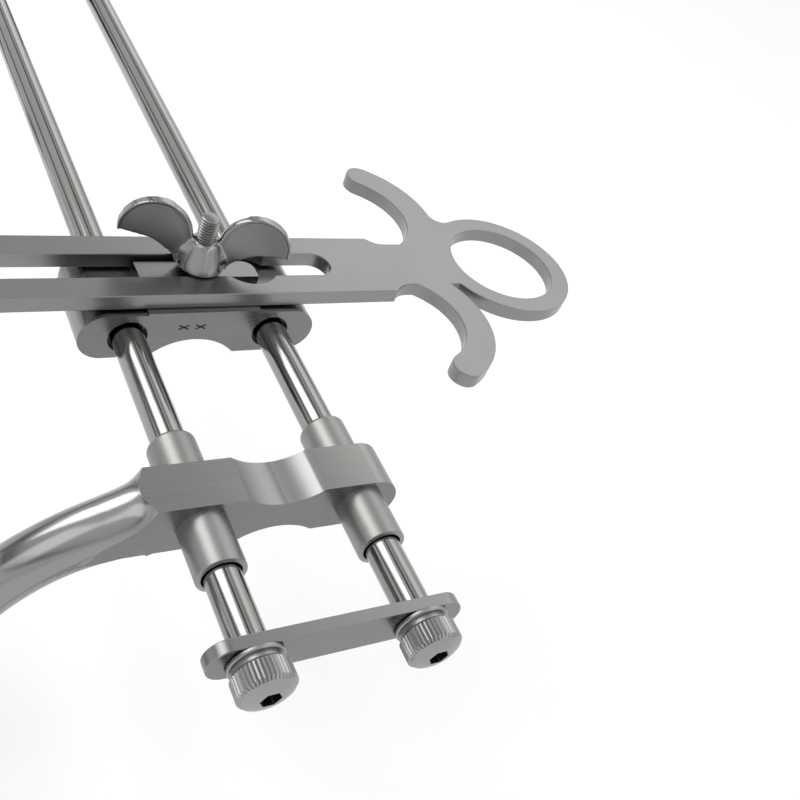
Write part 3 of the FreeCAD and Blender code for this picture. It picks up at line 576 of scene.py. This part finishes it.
@dataclass
class ThumbScrews:
    """The two knurled screws that hold the end plate, in millimetres.

    Attributes:
        teeth: Teeth of the straight knurl.
        tooth_depth: Depth of a tooth.
        socket: Half the width of the hexagonal socket.
        socket_depth: Depth of the socket.
        shank_length: Length of the shank in the rod's end.
        shank_radius: Its radius.
        lead: Chamfer at its end.
        flange_radius: Radius of the flange.
        flange: Its thickness.
        flange_edge: Rounding of its rim.
        neck_radius: Radius of the groove over the flange.
        neck_end: Height at which the head starts.
        knurl_end: Height at which the face starts.
        rim: Chamfer round the face.
        dome_rise: Rise of the domed face over the head's full width.
        sharp: Angle in degrees past which an edge stays sharp.
    """

    teeth: int = 44
    tooth_depth: float = 0.35
    socket: float = 2.0
    socket_depth: float = 2.6
    shank_length: float = 16.0
    shank_radius: float = 2.5
    lead: float = 0.4
    flange_radius: float = 6.0
    flange: float = 1.0
    flange_edge: float = 0.25
    neck_radius: float = 5.0
    neck_end: float = 2.3
    knurl_end: float = 7.3
    rim: float = 0.5
    dome_rise: float = 1.8
    sharp: float = 28.0

    def screw(self, side: str) -> None:
        """Model one screw: flange, neck, knurled head and domed face.

        Args:
            side: left or right.
        """
        node = "thumb_screw_" + side
        low, high = node_box(node)
        centre_x = (low.x + high.x) / 2
        head_radius = (high.x - low.x) / 2
        seat = high.y - self.shank_length
        total = seat - low.y
        dome_radius = (head_radius ** 2 + self.dome_rise ** 2) / (2 * self.dome_rise)
        profile = [(0.0, -self.shank_length), (self.shank_radius - self.lead, -self.shank_length),
                   (self.shank_radius, self.lead - self.shank_length), (self.shank_radius, 0.0),
                   (self.flange_radius - 0.3, 0.0), (self.flange_radius, self.flange_edge),
                   (self.flange_radius, self.flange - self.flange_edge),
                   (self.flange_radius - self.flange_edge, self.flange),
                   (self.neck_radius, self.flange + 0.1), (self.neck_radius, self.neck_end - 0.1),
                   (self.neck_radius + 0.6, self.neck_end), (head_radius, self.neck_end + 0.6),
                   (head_radius, self.knurl_end - self.rim), (head_radius - self.rim, self.knurl_end)]
        first = math.degrees(math.acos((head_radius - 0.7) / dome_radius))
        last = math.degrees(math.acos(self.socket * 1.25 / dome_radius))
        profile += arc((0.0, total - dome_radius), dome_radius, first, last, 8)
        shape = turned(profile, self.teeth * 3)
        self._knurl(shape, head_radius)
        self._socket(shape)
        moved(shape, placed(centre_x, seat, 0.0, 1))

        def in_socket(middle: Vector, _: Vector) -> bool:
            """Tell whether a face with this middle lies in the socket, whose near black tint paints its
            shade.
            """
            off_axis = math.hypot(middle.x - centre_x, middle.z)
            return middle.y < seat - self.neck_end and off_axis < self.socket * 1.1

        # The socket takes a near black tint that paints its shade.
        finished("knurled_screw_" + side, shape, HEAD_STEEL, Seat(node, "turned_steel", (node,)),
                 self.sharp, (Patch(SHADED_SOCKET_STEEL, in_socket),))

    def _knurl(self, shape: BMesh, head_radius: float) -> None:
        """Pull every third row of the head's rim in to make its teeth.

        Args:
            shape: The turned screw, changed here.
            head_radius: Radius of the head in millimetres.
        """
        for vert in shape.verts:
            radius = math.hypot(vert.co.x, vert.co.y) / MM
            height = vert.co.z / MM
            if radius < head_radius - 0.55 or not self.neck_end < height < self.knurl_end + 0.01:
                continue
            row = round(math.degrees(math.atan2(vert.co.y, vert.co.x)) / (360 / (self.teeth * 3)))
            if row % 3 == 0:
                pull = 1.0 - self.tooth_depth / radius
                vert.co.x *= pull
                vert.co.y *= pull

    def _socket(self, shape: BMesh) -> None:
        """Shape the open rim of the screw's dome as a hexagon and sink it."""
        rim = [edge for edge in shape.edges if edge.is_boundary]
        for vert in {vert for edge in rim for vert in edge.verts}:
            angle = math.atan2(vert.co.y, vert.co.x)
            sixth = math.radians(60)
            across = (angle % sixth) - sixth / 2
            radius = self.socket / math.cos(across)
            vert.co.x = radius * math.cos(angle) * MM
            vert.co.y = radius * math.sin(angle) * MM
        wall = bmesh.ops.extrude_edge_only(shape, edges=rim)
        sunk = [item for item in wall["geom"] if isinstance(item, BMVert)]
        bmesh.ops.translate(shape, verts=sunk, vec=(0, 0, -self.socket_depth * MM))
        floor = [item for item in wall["geom"]
                 if isinstance(item, BMEdge) and item.is_boundary]
        bmesh.ops.edgeloop_fill(shape, edges=floor)
        bmesh.ops.recalc_face_normals(shape, faces=shape.faces)

    def build(self) -> None:
        """Model both screws."""
        for side in ("left", "right"):
            self.screw(side)


@dataclass
class Arms:
    """The sliding and the fixed arm, and the sliding arm's sleeves, in millimetres and degrees.

    Attributes:
        edge: Width of the forgings' broken edges.
        flats_left: Left end of the ground level faces.
        half_depth: Half the block's depth along the rods.
        half_height: Half its height.
        start: Where the first slope meets the block's middle.
        root: Where the round arm leaves the block.
        drop: How much lower the arm's middle lies there.
        drop_reach: Distance over which that fades.
        inside: How far the round arm reaches into the block.
        block_cut: Where the copy of the CAD block ends.
        slope: First slope.
        steep: Steepest slope.
        run: Length of the first slope.
        bend: Radius of the bend downwards.
        back_bend: Radius of the bend back to level.
        round_radius: Radius of the round arm.
        flare: Extra radius at the root, and how far out it fades.
        lip: The same for the lip next to the block.
        strides: Distances between rings from the root outwards, and how many of each.
        last_stride: Longest distance between rings beyond.
        eye_radius: Outer radius of the eye.
        eye_overlap: How far the arm reaches into it.
        heel: How far inside the root the underside starts to slope.
        cheek: Distance over which the square lower half turns round.
        corner: Roundness of its corners at the root, from 0 to a half.
        facets: Facets round the arm.
        bore: Radius of a sleeve's bore.
        mouth: Radius of its mouth.
        mouth_depth: Depth of its mouth.
        sleeve_round: Rounding of its far end.
        sleeve_facets: Facets round it.
    """

    edge: float = 0.3
    flats_left: float = -60.0
    half_depth: float = 6.0
    half_height: float = 6.75
    start: float = -31.0
    root: float = -29.2
    drop: float = 0.7
    drop_reach: float = 9.0
    inside: float = 4.0
    block_cut: float = -27.6
    slope: float = 24.0
    steep: float = 50.0
    run: float = 8.0
    bend: float = 55.0
    back_bend: float = 32.0
    round_radius: float = 5.85
    flare: tuple[float, float] = (0.75, 6.5)
    lip: tuple[float, float] = (1.8, 1.4)
    strides: tuple[tuple[float, int], ...] = ((0.2, 49), (0.5, 24))
    last_stride: float = 1.3
    eye_radius: float = 8.5
    eye_overlap: float = 2.6
    heel: float = 1.2
    cheek: float = 14.0
    corner: float = 0.06
    facets: int = 96
    bore: float = 4.08
    mouth: float = 4.42
    mouth_depth: float = 3.0
    sleeve_round: float = 1.2
    sleeve_facets: int = 80

    def _route(self, x: float) -> tuple[float, float]:
        """Give the level and the slope of the arm's middle line.

        Args:
            x: Place along the bar's direction in millimetres.

        Returns:
            The level in millimetres and the slope in radians.
        """
        slope, steep = math.radians(self.slope), math.radians(self.steep)
        first_x = self.start - self.run * math.cos(slope)
        first_z = -self.run * math.sin(slope)
        centre_x = first_x + self.bend * math.sin(slope)
        centre_z = first_z - self.bend * math.cos(slope)
        second_x = centre_x - self.bend * math.sin(steep)
        second_z = centre_z + self.bend * math.cos(steep)
        third_x = second_x - self.back_bend * math.sin(steep)
        third_z = second_z - self.back_bend * (1 - math.cos(steep))
        if x > first_x:
            return (x - self.start) * math.tan(slope), slope
        if x > second_x:
            lean = math.asin((centre_x - x) / self.bend)
            return centre_z + self.bend * math.cos(lean), lean
        if x > third_x:
            lean = math.asin((x - third_x) / self.back_bend)
            return third_z + self.back_bend * (1 - math.cos(lean)), lean
        return third_z, 0.0

    def _trumpet(self, out: float) -> float:
        """Give the arm's radius at a distance out from the block, wide at its root."""
        growth = [extra * math.exp(-out / reach) for extra, reach in (self.flare, self.lip)]
        return min(self.round_radius + sum(growth), 2 * self.half_depth)

    def _square_below(self, out: float, vert: BMVert, middle: Vector) -> None:
        """Push a point of the arm's lower half out towards a square that fades into a circle.

        Args:
            out: Distance out from the block in millimetres.
            vert: Point of a ring round the arm.
            middle: Middle of that ring.
        """
        if vert.co.z >= middle.z:
            return
        roundness = max(self.corner, 0.5 * (1.0 - math.exp(-(max(out, 0.0) / self.cheek) ** 2)))
        away = vert.co - middle
        far = math.hypot(away.y, away.z)
        size = (abs(away.y / far) ** (1 / roundness) + abs(away.z / far) ** (1 / roundness)) ** roundness
        floor = min(vert.co.z, -self.half_height * MM)
        vert.co = middle + away / size
        vert.co.z = max(vert.co.z, floor)

    def _round_arm(self, plane: float, end: float) -> BMesh:
        """Model the forged arm from its root in the block to its eye, ground flat where it leaves the block.

        Args:
            plane: Middle plane of the arm along the rods, in millimetres.
            end: Where the arm ends inside its eye.

        Returns:
            The closed mesh.
        """
        places = [self.root + self.inside]
        for stride, count in self.strides:
            places += [places[-1] - stride * (step + 1) for step in range(count)]
        left = places[-1]
        steps = math.ceil((left - end) / self.last_stride)
        places += [left + (end - left) * (step + 1) / steps for step in range(steps)]
        shape = bmesh.new()
        rings = []
        for x in places:
            out = self.root - x
            level, lean = self._route(x)
            level -= self.drop * min(1.0, math.exp(-out / self.drop_reach))
            sole = -self.half_height - max(0.0, out + self.heel) * math.tan(math.radians(self.slope))
            middle = Vector((x, plane, level)) * MM
            tall = Matrix.Diagonal((1.0, 1.0, 1.0 / math.cos(lean), 1.0))
            circle = bmesh.ops.create_circle(
                shape, cap_ends=False, segments=self.facets, radius=self._trumpet(out) * MM,
                matrix=Matrix.Translation(middle) @ tall @ Matrix.Rotation(math.pi / 2, 4, "Y"))
            for vert in circle["verts"]:
                self._square_below(out, vert, middle)
                if out < self.run / 2:
                    vert.co.z = max(vert.co.z, sole * MM)
            rings.append(sorted({edge for vert in circle["verts"] for edge in vert.link_edges},
                                key=lambda edge: edge.index))
        for near, far in zip(rings, rings[1:]):
            bmesh.ops.bridge_loops(shape, edges=near + far)
        bmesh.ops.holes_fill(shape, edges=[edge for edge in shape.edges if edge.is_boundary], sides=0)
        cut(shape, (0, 0, self.half_height), (0, 0, 1))
        cut(shape, (0, plane + self.half_depth, 0), (0, 1, 0))
        cut(shape, (0, plane - self.half_depth, 0), (0, -1, 0))
        bmesh.ops.recalc_face_normals(shape, faces=shape.faces)
        return shape

    def arm(self, node: str, body: str) -> None:
        """Model an arm: the CAD block and eye, joined by a round arm that flares where it leaves the block.

        Args:
            node: CAD node of the arm.
            body: CAD body that carries it.
        """
        low, high = node_box(node)
        plane = (low.y + high.y) / 2
        eye_right = low.x + 2 * self.eye_radius
        block, eye = copied(node), copied(node)
        cut(block, (self.block_cut, 0, 0), (-1, 0, 0))
        cut(eye, (eye_right + 0.05, 0, 0), (1, 0, 0))
        shape = joined([block, eye, self._round_arm(plane, eye_right - self.eye_overlap)])
        bmesh.ops.dissolve_limit(shape, angle_limit=math.radians(0.05), verts=shape.verts, edges=shape.edges)
        break_edges(shape, self.edge)

        def on_top(middle: Vector, normal: Vector) -> bool:
            """Tell whether a face is a level one of the block."""
            return abs(normal.z) > FLAT_FACE and middle.x > self.flats_left

        def in_scoop(middle: Vector, normal: Vector) -> bool:
            """Tell whether a face is a curved one across the block, where a brighter tint paints sheen."""
            return abs(normal.y) < 0.05 and middle.x > self.block_cut

        # Faces that look along the rods take a darker tint that paints shade.
        finished(node + "_forging", shape, ARM_STEEL, Seat(body, "polished_arm", (node,)), BLOCK_SHARP,
                 (Patch(BLOCK_STEEL, on_top), Patch(SHADED_SIDE_STEEL, on_side), Patch(SHEEN_SCOOP_STEEL, in_scoop)))

    def sleeve(self, side: str) -> None:
        """Model one blasted sleeve with its mouth and rounded far end.

        Args:
            side: left or right.
        """
        node = side + "_sleeve"
        low, high = node_box(node)
        radius = (high.x - low.x) / 2
        length = high.y - low.y
        profile = [(self.mouth, 0.0), (radius - 0.3, 0.0), (radius - 0.09, 0.09), (radius, 0.3)]
        profile += arc((radius - self.sleeve_round, length - self.sleeve_round), self.sleeve_round, 0, 90, 6)
        profile += [(self.bore, length), (self.bore, self.mouth_depth), (self.mouth, self.mouth_depth)]
        place = placed((low.x + high.x) / 2, low.y, 0.0, -1)
        shape = moved(turned(profile, self.sleeve_facets, True), place)
        finished(side + "_guide_bush", shape, SLEEVE_STEEL, Seat("sliding_arm", "blasted_sleeve", (node,)))

    def build(self) -> None:
        """Model both arms and both sleeves."""
        self.arm("sliding_arm", "sliding_arm")
        self.arm("fixed_arm", "frame")
        for side in ("left", "right"):
            self.sleeve(side)


@dataclass
class Carriage:
    """The block on the rods, its key and its clamp stud.

    Attributes:
        block_edge: Width of the block's broken edges in millimetres.
        key_edge: The same for the key.
        pitch: Pitch of the stud's thread in millimetres.
        root: Radius at its root.
        crest: Radius at its crest.
        form: Shares of the pitch at which its flanks start and stop.
        thread_start: Height at which it starts.
        tip: Length of the plain tip.
        crown: Radius of the tip's domed face.
        facets: Facets round the thread.
        core_facets: Facets round the core.
        sharp: Angle in degrees past which an edge of the stud stays sharp.
        mark_places: Places of the crosses along the bar.
        mark_height: Their height.
        mark_size: Length, relief and width of a stroke.
        mark_lean: Lean of a stroke in degrees.
    """

    block_edge: float = 0.35
    key_edge: float = 0.25
    pitch: float = 0.8
    root: float = 2.0
    crest: float = 2.45
    form: tuple[float, ...] = (0.0, 0.35, 0.45, 0.8, 1.0)
    thread_start: float = 9.0
    tip: float = 0.9
    crown: float = 7.0
    facets: int = 32
    core_facets: int = 48
    sharp: float = 50.0
    mark_places: tuple[float, ...] = (-5.0, -0.7)
    mark_height: float = 2.6
    mark_size: tuple[float, float, float] = (2.9, 0.06, 0.42)
    mark_lean: int = 27

    def stud(self) -> None:
        """Model the stud with a real helical thread and a domed end."""
        low, high = node_box("clamp_stud")
        total = high.z - low.z
        plain = total - self.tip
        turns = math.ceil((plain - self.thread_start) / self.pitch) - 1
        shape = bmesh.new()
        radii = (self.root, self.crest, self.crest, self.root, self.root)
        chain = [shape.verts.new((radius * MM, 0.0, share * self.pitch * MM))
                 for radius, share in zip(radii, self.form)]
        edges = [shape.edges.new(pair) for pair in zip(chain, chain[1:])]
        bmesh.ops.spin(shape, geom=chain + edges, cent=(0, 0, 0), axis=(0, 0, 1),
                       dvec=(0, 0, self.pitch * MM / self.facets), angle=math.tau * turns,
                       steps=self.facets * turns, use_merge=False, use_duplicate=False)
        bmesh.ops.remove_doubles(shape, verts=shape.verts, dist=0.01 * MM)
        moved(shape, placed(0, 0, self.thread_start))
        core = [(0.0, 0.0), (self.crest, 0.0), (self.crest, self.thread_start),
                (self.root + 0.01, self.thread_start + 0.4), (self.root + 0.01, plain - 0.3),
                (self.crest - 0.15, plain), (self.crest - 0.1, total - 0.6),
                (self.crest - 0.35, total - 0.32)]
        core += arc((0.0, total - self.crown), self.crown, 74, 90, 5)
        added(shape, turned(core, self.core_facets))
        moved(shape, placed((low.x + high.x) / 2, 0, low.z))
        finished("threaded_stud", shape, TURNED_STEEL, Seat("carriage", "turned_steel", ("clamp_stud",)),
                 self.sharp)

    def marks(self) -> None:
        """Model the two small plain crosses punched in the block's front, with their grooves' shade painted
        near black.
        """
        low, _ = node_box("carriage_block")
        shape = bmesh.new()
        for place in self.mark_places:
            for lean in (-self.mark_lean, self.mark_lean):
                turn = Matrix.Rotation(math.radians(lean), 4, "Y")
                size = Matrix.Diagonal([side * MM for side in self.mark_size] + [1.0])
                bmesh.ops.create_cube(shape, size=1.0,
                                      matrix=placed(place, low.y, self.mark_height) @ turn @ size)
        finished("punched_crosses_painted_shade", shape, PAINTED_MARK_SHADE, Seat("carriage", "brushed_steel"))

    def build(self) -> None:
        """Model the carriage's pieces."""
        # Faces that look along the rods take a darker tint that paints shade.
        finished("carriage_forging", softened("carriage_block", self.block_edge), BLOCK_STEEL,
                 Seat("carriage", "brushed_steel", ("carriage_block",)), BLOCK_SHARP,
                 (Patch(SHADED_SIDE_STEEL, on_side),))
        finished("slot_key", softened("guide_key", self.key_edge), BLOCK_STEEL,
                 Seat("carriage", "brushed_steel", ("guide_key",)), BLOCK_SHARP)
        self.stud()
        self.marks()


@dataclass
class WingNut:
    """The forged nut whose two wings clamp the bar, in millimetres.

    Attributes:
        turn: How far the wings are turned from the bar's direction, in degrees.
        voxel: Grid of the remesh that blends wings and hub.
        hub: Profile of the conical hub.
        web: Thickness of a wing at its sunk face.
        rim_thick: Thickness at the raised band round it.
        rim: Width of the band.
        root: Profile of the stock that lets the wings grow out of the hub.
        root_stretch: Its stretch along the wings.
        root_pinch: Its stretch across them.
        upper_centre: Centre of a wing's upper edge, out from the axis and up.
        upper_radius: Its radius.
        upper_sweep: Its first and last angle in degrees.
        lower_centre: Centre of the hollow lower edge.
        lower_radius: Its radius.
        lower_sweep: Its first and last angle in degrees.
        foot: Points that close a wing's outline inside the hub.
        soft_reach: How far from the axis the forging is smoothed.
        soft_rounds: Rounds of smoothing there.
        sharp: Angle in degrees past which an edge stays sharp.
    """

    turn: float = -16.8
    voxel: float = 0.2
    hub: Points = (
        (0.0, 0.0), (5.4, 0.0), (5.95, 0.5), (5.7, 1.4), (4.6, 4.6), (3.6, 7.6), (3.2, 8.1), (0.0, 8.1))
    web: float = 1.5
    rim_thick: float = 2.4
    rim: float = 0.6
    root: Points = (
        (0.0, 1.4), (4.2, 1.4), (4.6, 2.4), (4.2, 4.4), (3.4, 6.0), (2.6, 7.2), (0.0, 7.2))
    root_stretch: float = 1.4
    root_pinch: float = 0.72
    upper_centre: tuple[float, float] = (12.2, 7.72)
    upper_radius: float = 9.0
    upper_sweep: tuple[float, float] = (-6.0, 176.0)
    lower_centre: tuple[float, float] = (18.0, -7.14)
    lower_radius: float = 13.8
    lower_sweep: tuple[float, float] = (148.7, 109.2)
    foot: Points = ((2.6, 7.6), (2.6, 0.3), (5.9, 0.3))
    soft_reach: float = 9.0
    soft_rounds: int = 60
    sharp: float = 60.0

    def _outline(self) -> list[tuple[float, float]]:
        """Draw a wing's outline, out from the axis and up from the seat."""
        outline = arc(self.upper_centre, self.upper_radius, *self.upper_sweep, 40)
        outline += self.foot
        outline += arc(self.lower_centre, self.lower_radius, *self.lower_sweep, 14)
        return outline

    def _plate(self, outline: Points, thick: float, side: int) -> BMesh:
        """Cut an upright plate that stands across the wing's middle plane.

        Args:
            outline: Points of the plate, in millimetres.
            thick: Its thickness in millimetres.
            side: 1 for the wing on +X, -1 for the other.

        Returns:
            The plate's mesh.
        """
        shape = bmesh.new()
        corners = [shape.verts.new((x * MM, -thick / 2 * MM, z * MM)) for x, z in outline]
        face = shape.faces.new(corners)
        back = bmesh.ops.extrude_face_region(shape, geom=[face])
        lifted = [item for item in back["geom"] if isinstance(item, BMVert)]
        bmesh.ops.translate(shape, verts=lifted, vec=(0, thick * MM, 0))
        bmesh.ops.recalc_face_normals(shape, faces=shape.faces)
        if side < 0:
            moved(shape, Matrix.Rotation(math.pi, 4, "Z"))
        return shape

    def _rim(self, side: int) -> BMesh:
        """Cut the raised band along the upper edge of the wing on +X (1) or on -X (-1)."""
        band = arc(self.upper_centre, self.upper_radius, *self.upper_sweep, 40)
        band += arc(self.upper_centre, self.upper_radius - self.rim, *reversed(self.upper_sweep), 40)
        return self._plate(band, self.rim_thick, side)

    def _in_recess(self, reach: float, across: float, height: float) -> bool:
        """Tell whether a point of the nut lies on a wing's sunk face.

        Args:
            reach: Its distance from the axis along the wings.
            across: Its distance from the wings' middle plane.
            height: Its height above the seat.

        Returns:
            Whether it does.
        """
        sunk = abs(across) < self.web / 2 + 0.18
        inside = math.dist((reach, height), self.upper_centre) < self.upper_radius - self.rim * 0.8
        web = reach < self.upper_centre[0] and height < self.upper_centre[1]
        lower = math.dist((reach, height), self.lower_centre) > self.lower_radius + 0.25
        return sunk and (inside or web) and lower and reach > 3.4

    def build(self) -> None:
        """Model the nut as one blended forging with sunk wing faces."""
        low, _ = node_box("wing_nut")
        stud_low, stud_high = node_box("clamp_stud")
        root = moved(turned(self.root, 64), Matrix.Diagonal((self.root_stretch, self.root_pinch, 1.0, 1.0)))
        whole = turned(self.hub, 64)
        added(whole, root)
        for side in (1, -1):
            added(whole, self._plate(self._outline(), self.web, side))
            added(whole, self._rim(side))
        blended = self._blend(whole)
        spin = Matrix.Rotation(math.radians(self.turn), 4, "Z")
        place = placed((stud_low.x + stud_high.x) / 2, 0, low.z) @ spin
        back = place.inverted()

        def sunk(middle: Vector, normal: Vector) -> bool:
            """Tell whether a face lies on a wing's sunk face, which takes the darker tint of painted shade.
            """
            at = back @ (middle * MM) / MM
            return abs((back.to_3x3() @ normal).y) > 0.6 and self._in_recess(abs(at.x), at.y, at.z)

        # The wings' sunk faces take a darker tint that paints shade.
        finished("forged_wing_nut", moved(blended, place), NUT_STEEL,
                 Seat("wing_nut", "turned_steel", ("wing_nut",)), self.sharp, (Patch(SHADED_RECESS_STEEL, sunk),))

    def _blend(self, stock: BMesh) -> BMesh:
        """Melt overlapping stock into one closed skin and soften where the wings leave the hub.

        Args:
            stock: The overlapping meshes, freed here.

        Returns:
            The blended mesh.
        """
        blank = blank_of(stock)
        remesh = blank.modifiers.new("blend", "REMESH")
        remesh.mode = "VOXEL"
        remesh.voxel_size = self.voxel * MM
        shape = worked([blank])
        near = [vert for vert in shape.verts
                if math.hypot(vert.co.x, vert.co.y) < self.soft_reach * MM and vert.co.z > 0.6 * MM]
        for verts, rounds in ((near, self.soft_rounds), (shape.verts, 3)):
            for _ in range(rounds):
                bmesh.ops.smooth_vert(shape, verts=verts, factor=0.5, use_axis_x=True, use_axis_y=True,
                                      use_axis_z=True)
        return shape


@dataclass
class CentreBar:
    """The slotted bar with its finger rests and ring, and the centre blade.

    Attributes:
        edge: Width of the bar's broken edges in millimetres.
        blade_edge: The same for the blade.
        blade_flatness: Angle in degrees under which the blade's triangles are one face.
    """

    edge: float = 0.4
    blade_edge: float = 0.5
    blade_flatness: float = 0.05

    def build(self) -> None:
        """Model the bar and the blade; the rivets keep their CAD mesh."""
        finished("slotted_flat_bar", softened("slotted_bar", self.edge), BAR_STEEL,
                 Seat("centre_bar", "brushed_steel", ("slotted_bar",)), BLOCK_SHARP)
        finished("saddle_blade", softened("centre_blade", self.blade_edge, self.blade_flatness), BLADE_STEEL,
                 Seat("centre_bar", "polished_blade", ("centre_blade",)), BLOCK_SHARP)


@dataclass
class SideBlades:
    """The wire side blades with their shanks and cap nuts.

    Attributes:
        pieces: CAD node, broken edge in millimetres, finish and slot of each piece of a blade.
        flatness: Angle in degrees under which neighbouring triangles are one face.
    """

    pieces: tuple[tuple[str, float, SteelFinish, str], ...] = (
        ("blade_loop", 0.01, BLADE_STEEL, "polished_blade"),
        ("blade_shank", 0.35, TURNED_STEEL, "turned_steel"), ("cap_nut", 0.3, TURNED_STEEL, "turned_steel"))
    flatness: float = 0.05

    def build(self) -> None:
        """Model the wire loops, shanks and nuts of both arms."""
        for side in ("near", "far"):
            for part, width, finish, slot in self.pieces:
                node = "%s_%s" % (side, part)
                finished(node + "_piece", softened(node, width, self.flatness), finish,
                         Seat(side + "_blade", slot, (node,)), BLOCK_SHARP)


@dataclass
class PlainNodes:
    """CAD nodes that keep their own mesh and only take a finish.

    Attributes:
        finishes: Finish of each node.
    """

    finishes: tuple[tuple[str, SteelFinish], ...] = (("rod_pins", ROD_STEEL), ("blade_rivets", BAR_STEEL))

    def build(self) -> None:
        """Dress the nodes that stay as they are."""
        for node, finish in self.finishes:
            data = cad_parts[node].data
            data.materials.clear()
            data.materials.append(dressed(finish))


@dataclass
class Studio:
    """The plain pale floor, the soft lights and the camera at the photo's angle.

    Attributes:
        focal_pixels: Focal length in pixels of the square frame.
        frame_pixels: Width of the square frame in pixels.
        sensor: Width of the camera's sensor in millimetres.
        stand: Camera centre in millimetres.
        right: Direction of the picture's right.
        down: Direction of the picture's bottom.
        forward: Direction in which the camera looks.
        near_clip: Nearest thing that the camera sees, in metres.
        floor_half: Half the floor's side in metres.
        floor_shade: Its brightness.
        floor_roughness: Its roughness.
        sky: Share of the half turn round the guide rods, and the brightness there.
        lamps: Name, place and side in metres, and power in watts of each lamp.
    """

    focal_pixels: float = 1012.2
    frame_pixels: float = 800.0
    sensor: float = 36.0
    stand: tuple[float, float, float] = (-92.23, -189.90, 162.97)
    right: tuple[float, float, float] = (0.84638, -0.41960, 0.32799)
    down: tuple[float, float, float] = (-0.07561, -0.70428, -0.70588)
    forward: tuple[float, float, float] = (0.52718, 0.57265, -0.62782)
    near_clip: float = 0.01
    floor_half: float = 6.0
    floor_shade: float = 0.97
    floor_roughness: float = 0.9
    sky: Points = (
        (0.0, 0.8), (0.12, 1.05), (0.23, 1.75), (0.30, 1.7), (0.355, 0.7), (0.385, 0.5), (0.42, 0.9),
        (0.445, 1.1), (0.465, 0.15), (0.505, 0.15), (0.53, 1.0), (0.80, 0.9), (0.835, 0.18), (0.865, 0.25),
        (0.90, 1.1), (1.0, 0.9))
    lamps: tuple[tuple[str, tuple[float, float, float], float, float], ...] = (
        ("overhead", (-0.38, 0.42, 0.60), 0.46, 2.2), ("fill", (-0.9, -0.5, 0.8), 0.8, 2.0))

    def camera(self) -> None:
        """Set the camera solved from the photo."""
        data = bpy.data.cameras.new("camera")
        data.sensor_width = self.sensor
        data.lens = self.sensor * self.focal_pixels / self.frame_pixels
        data.clip_start = self.near_clip
        turn = Matrix((self.right, -Vector(self.down), -Vector(self.forward))).transposed()
        eye = bpy.data.objects.new("camera", data)
        eye.matrix_world = Matrix.Translation(Vector(self.stand) * MM) @ turn.to_4x4()
        bpy.context.scene.collection.objects.link(eye)
        bpy.context.scene.camera = eye

    def floor(self) -> None:
        """Lay a wide pale floor just under the lowest piece."""
        shape = bmesh.new()
        level = CAD_BOX[0][2]
        bmesh.ops.create_grid(shape, x_segments=1, y_segments=1, size=self.floor_half,
                              matrix=Matrix.Translation((0, 0, level)))
        mesh = bpy.data.meshes.new("floor")
        shape.to_mesh(mesh)
        shape.free()
        floor = bpy.data.objects.new("floor", mesh)
        bpy.context.scene.collection.objects.link(floor)
        pale = bpy.data.materials.new("pale_floor")
        pale.use_nodes = True
        shader = pale.node_tree.nodes["Principled BSDF"]
        shader.inputs["Base Color"].default_value = (self.floor_shade,) * 3 + (1,)
        shader.inputs["Roughness"].default_value = self.floor_roughness
        mesh.materials.append(pale)

    def lamp(self, name: str, place: tuple[float, float, float], size: float, power: float) -> None:
        """Hang a soft square lamp that faces the carriage.

        Args:
            name: Name of the lamp.
            place: Where it hangs, in metres.
            size: Its side in metres.
            power: Its power in watts.
        """
        data = bpy.data.lights.new(name, "AREA")
        data.size = size
        data.energy = power
        lamp = bpy.data.objects.new(name, data)
        lamp.location = place
        lamp.rotation_euler = (-Vector(place)).to_track_quat("-Z", "Y").to_euler()
        bpy.context.scene.collection.objects.link(lamp)

    def world(self) -> None:
        """Paint a studio of long pale panels and dark gaps that lie along the guide rods.

        The shade follows the angle round the rods' direction, from the finger ring's side over the top.
        """
        world = bpy.data.worlds.new("studio")
        bpy.context.scene.world = world
        world.use_nodes = True
        nodes = world.node_tree.nodes
        links = world.node_tree.links
        place = nodes.new("ShaderNodeTexCoord")
        split = nodes.new("ShaderNodeSeparateXYZ")
        angle = nodes.new("ShaderNodeMath")
        angle.operation = "ARCTAN2"
        share = nodes.new("ShaderNodeMapRange")
        share.inputs["From Max"].default_value = math.pi
        ramp = nodes.new("ShaderNodeValToRGB")
        stops = ramp.color_ramp.elements
        stops[0].position, first = self.sky[0]
        stops[1].position, last = self.sky[-1]
        stops[0].color = (first, first, first, 1)
        stops[1].color = (last, last, last, 1)
        for position, shade in self.sky[1:-1]:
            stops.new(position).color = (shade, shade, shade, 1)
        links.new(place.outputs["Generated"], split.inputs["Vector"])
        links.new(split.outputs["Z"], angle.inputs[0])
        links.new(split.outputs["X"], angle.inputs[1])
        links.new(angle.outputs["Value"], share.inputs["Value"])
        links.new(share.outputs["Result"], ramp.inputs["Fac"])
        links.new(ramp.outputs["Color"], nodes["Background"].inputs["Color"])

    def build(self) -> None:
        """Set the floor, the lights, the world and the camera."""
        self.floor()
        self.world()
        for name, place, size, power in self.lamps:
            self.lamp(name, place, size, power)
        self.camera()
        bpy.context.scene.view_settings.view_transform = "Standard"


def main() -> None:
    """Build every sub-assembly in order, then the studio."""
    for assembly in (GuideRods(), ThumbScrews(), Arms(), Carriage(), CentreBar(), WingNut(), SideBlades(),
                     PlainNodes(), Studio()):
        assembly.build()
        LOG.info("%s built", type(assembly).__name__)


if __name__ == "__main__":
    logging.basicConfig(level=logging.INFO)
    main()
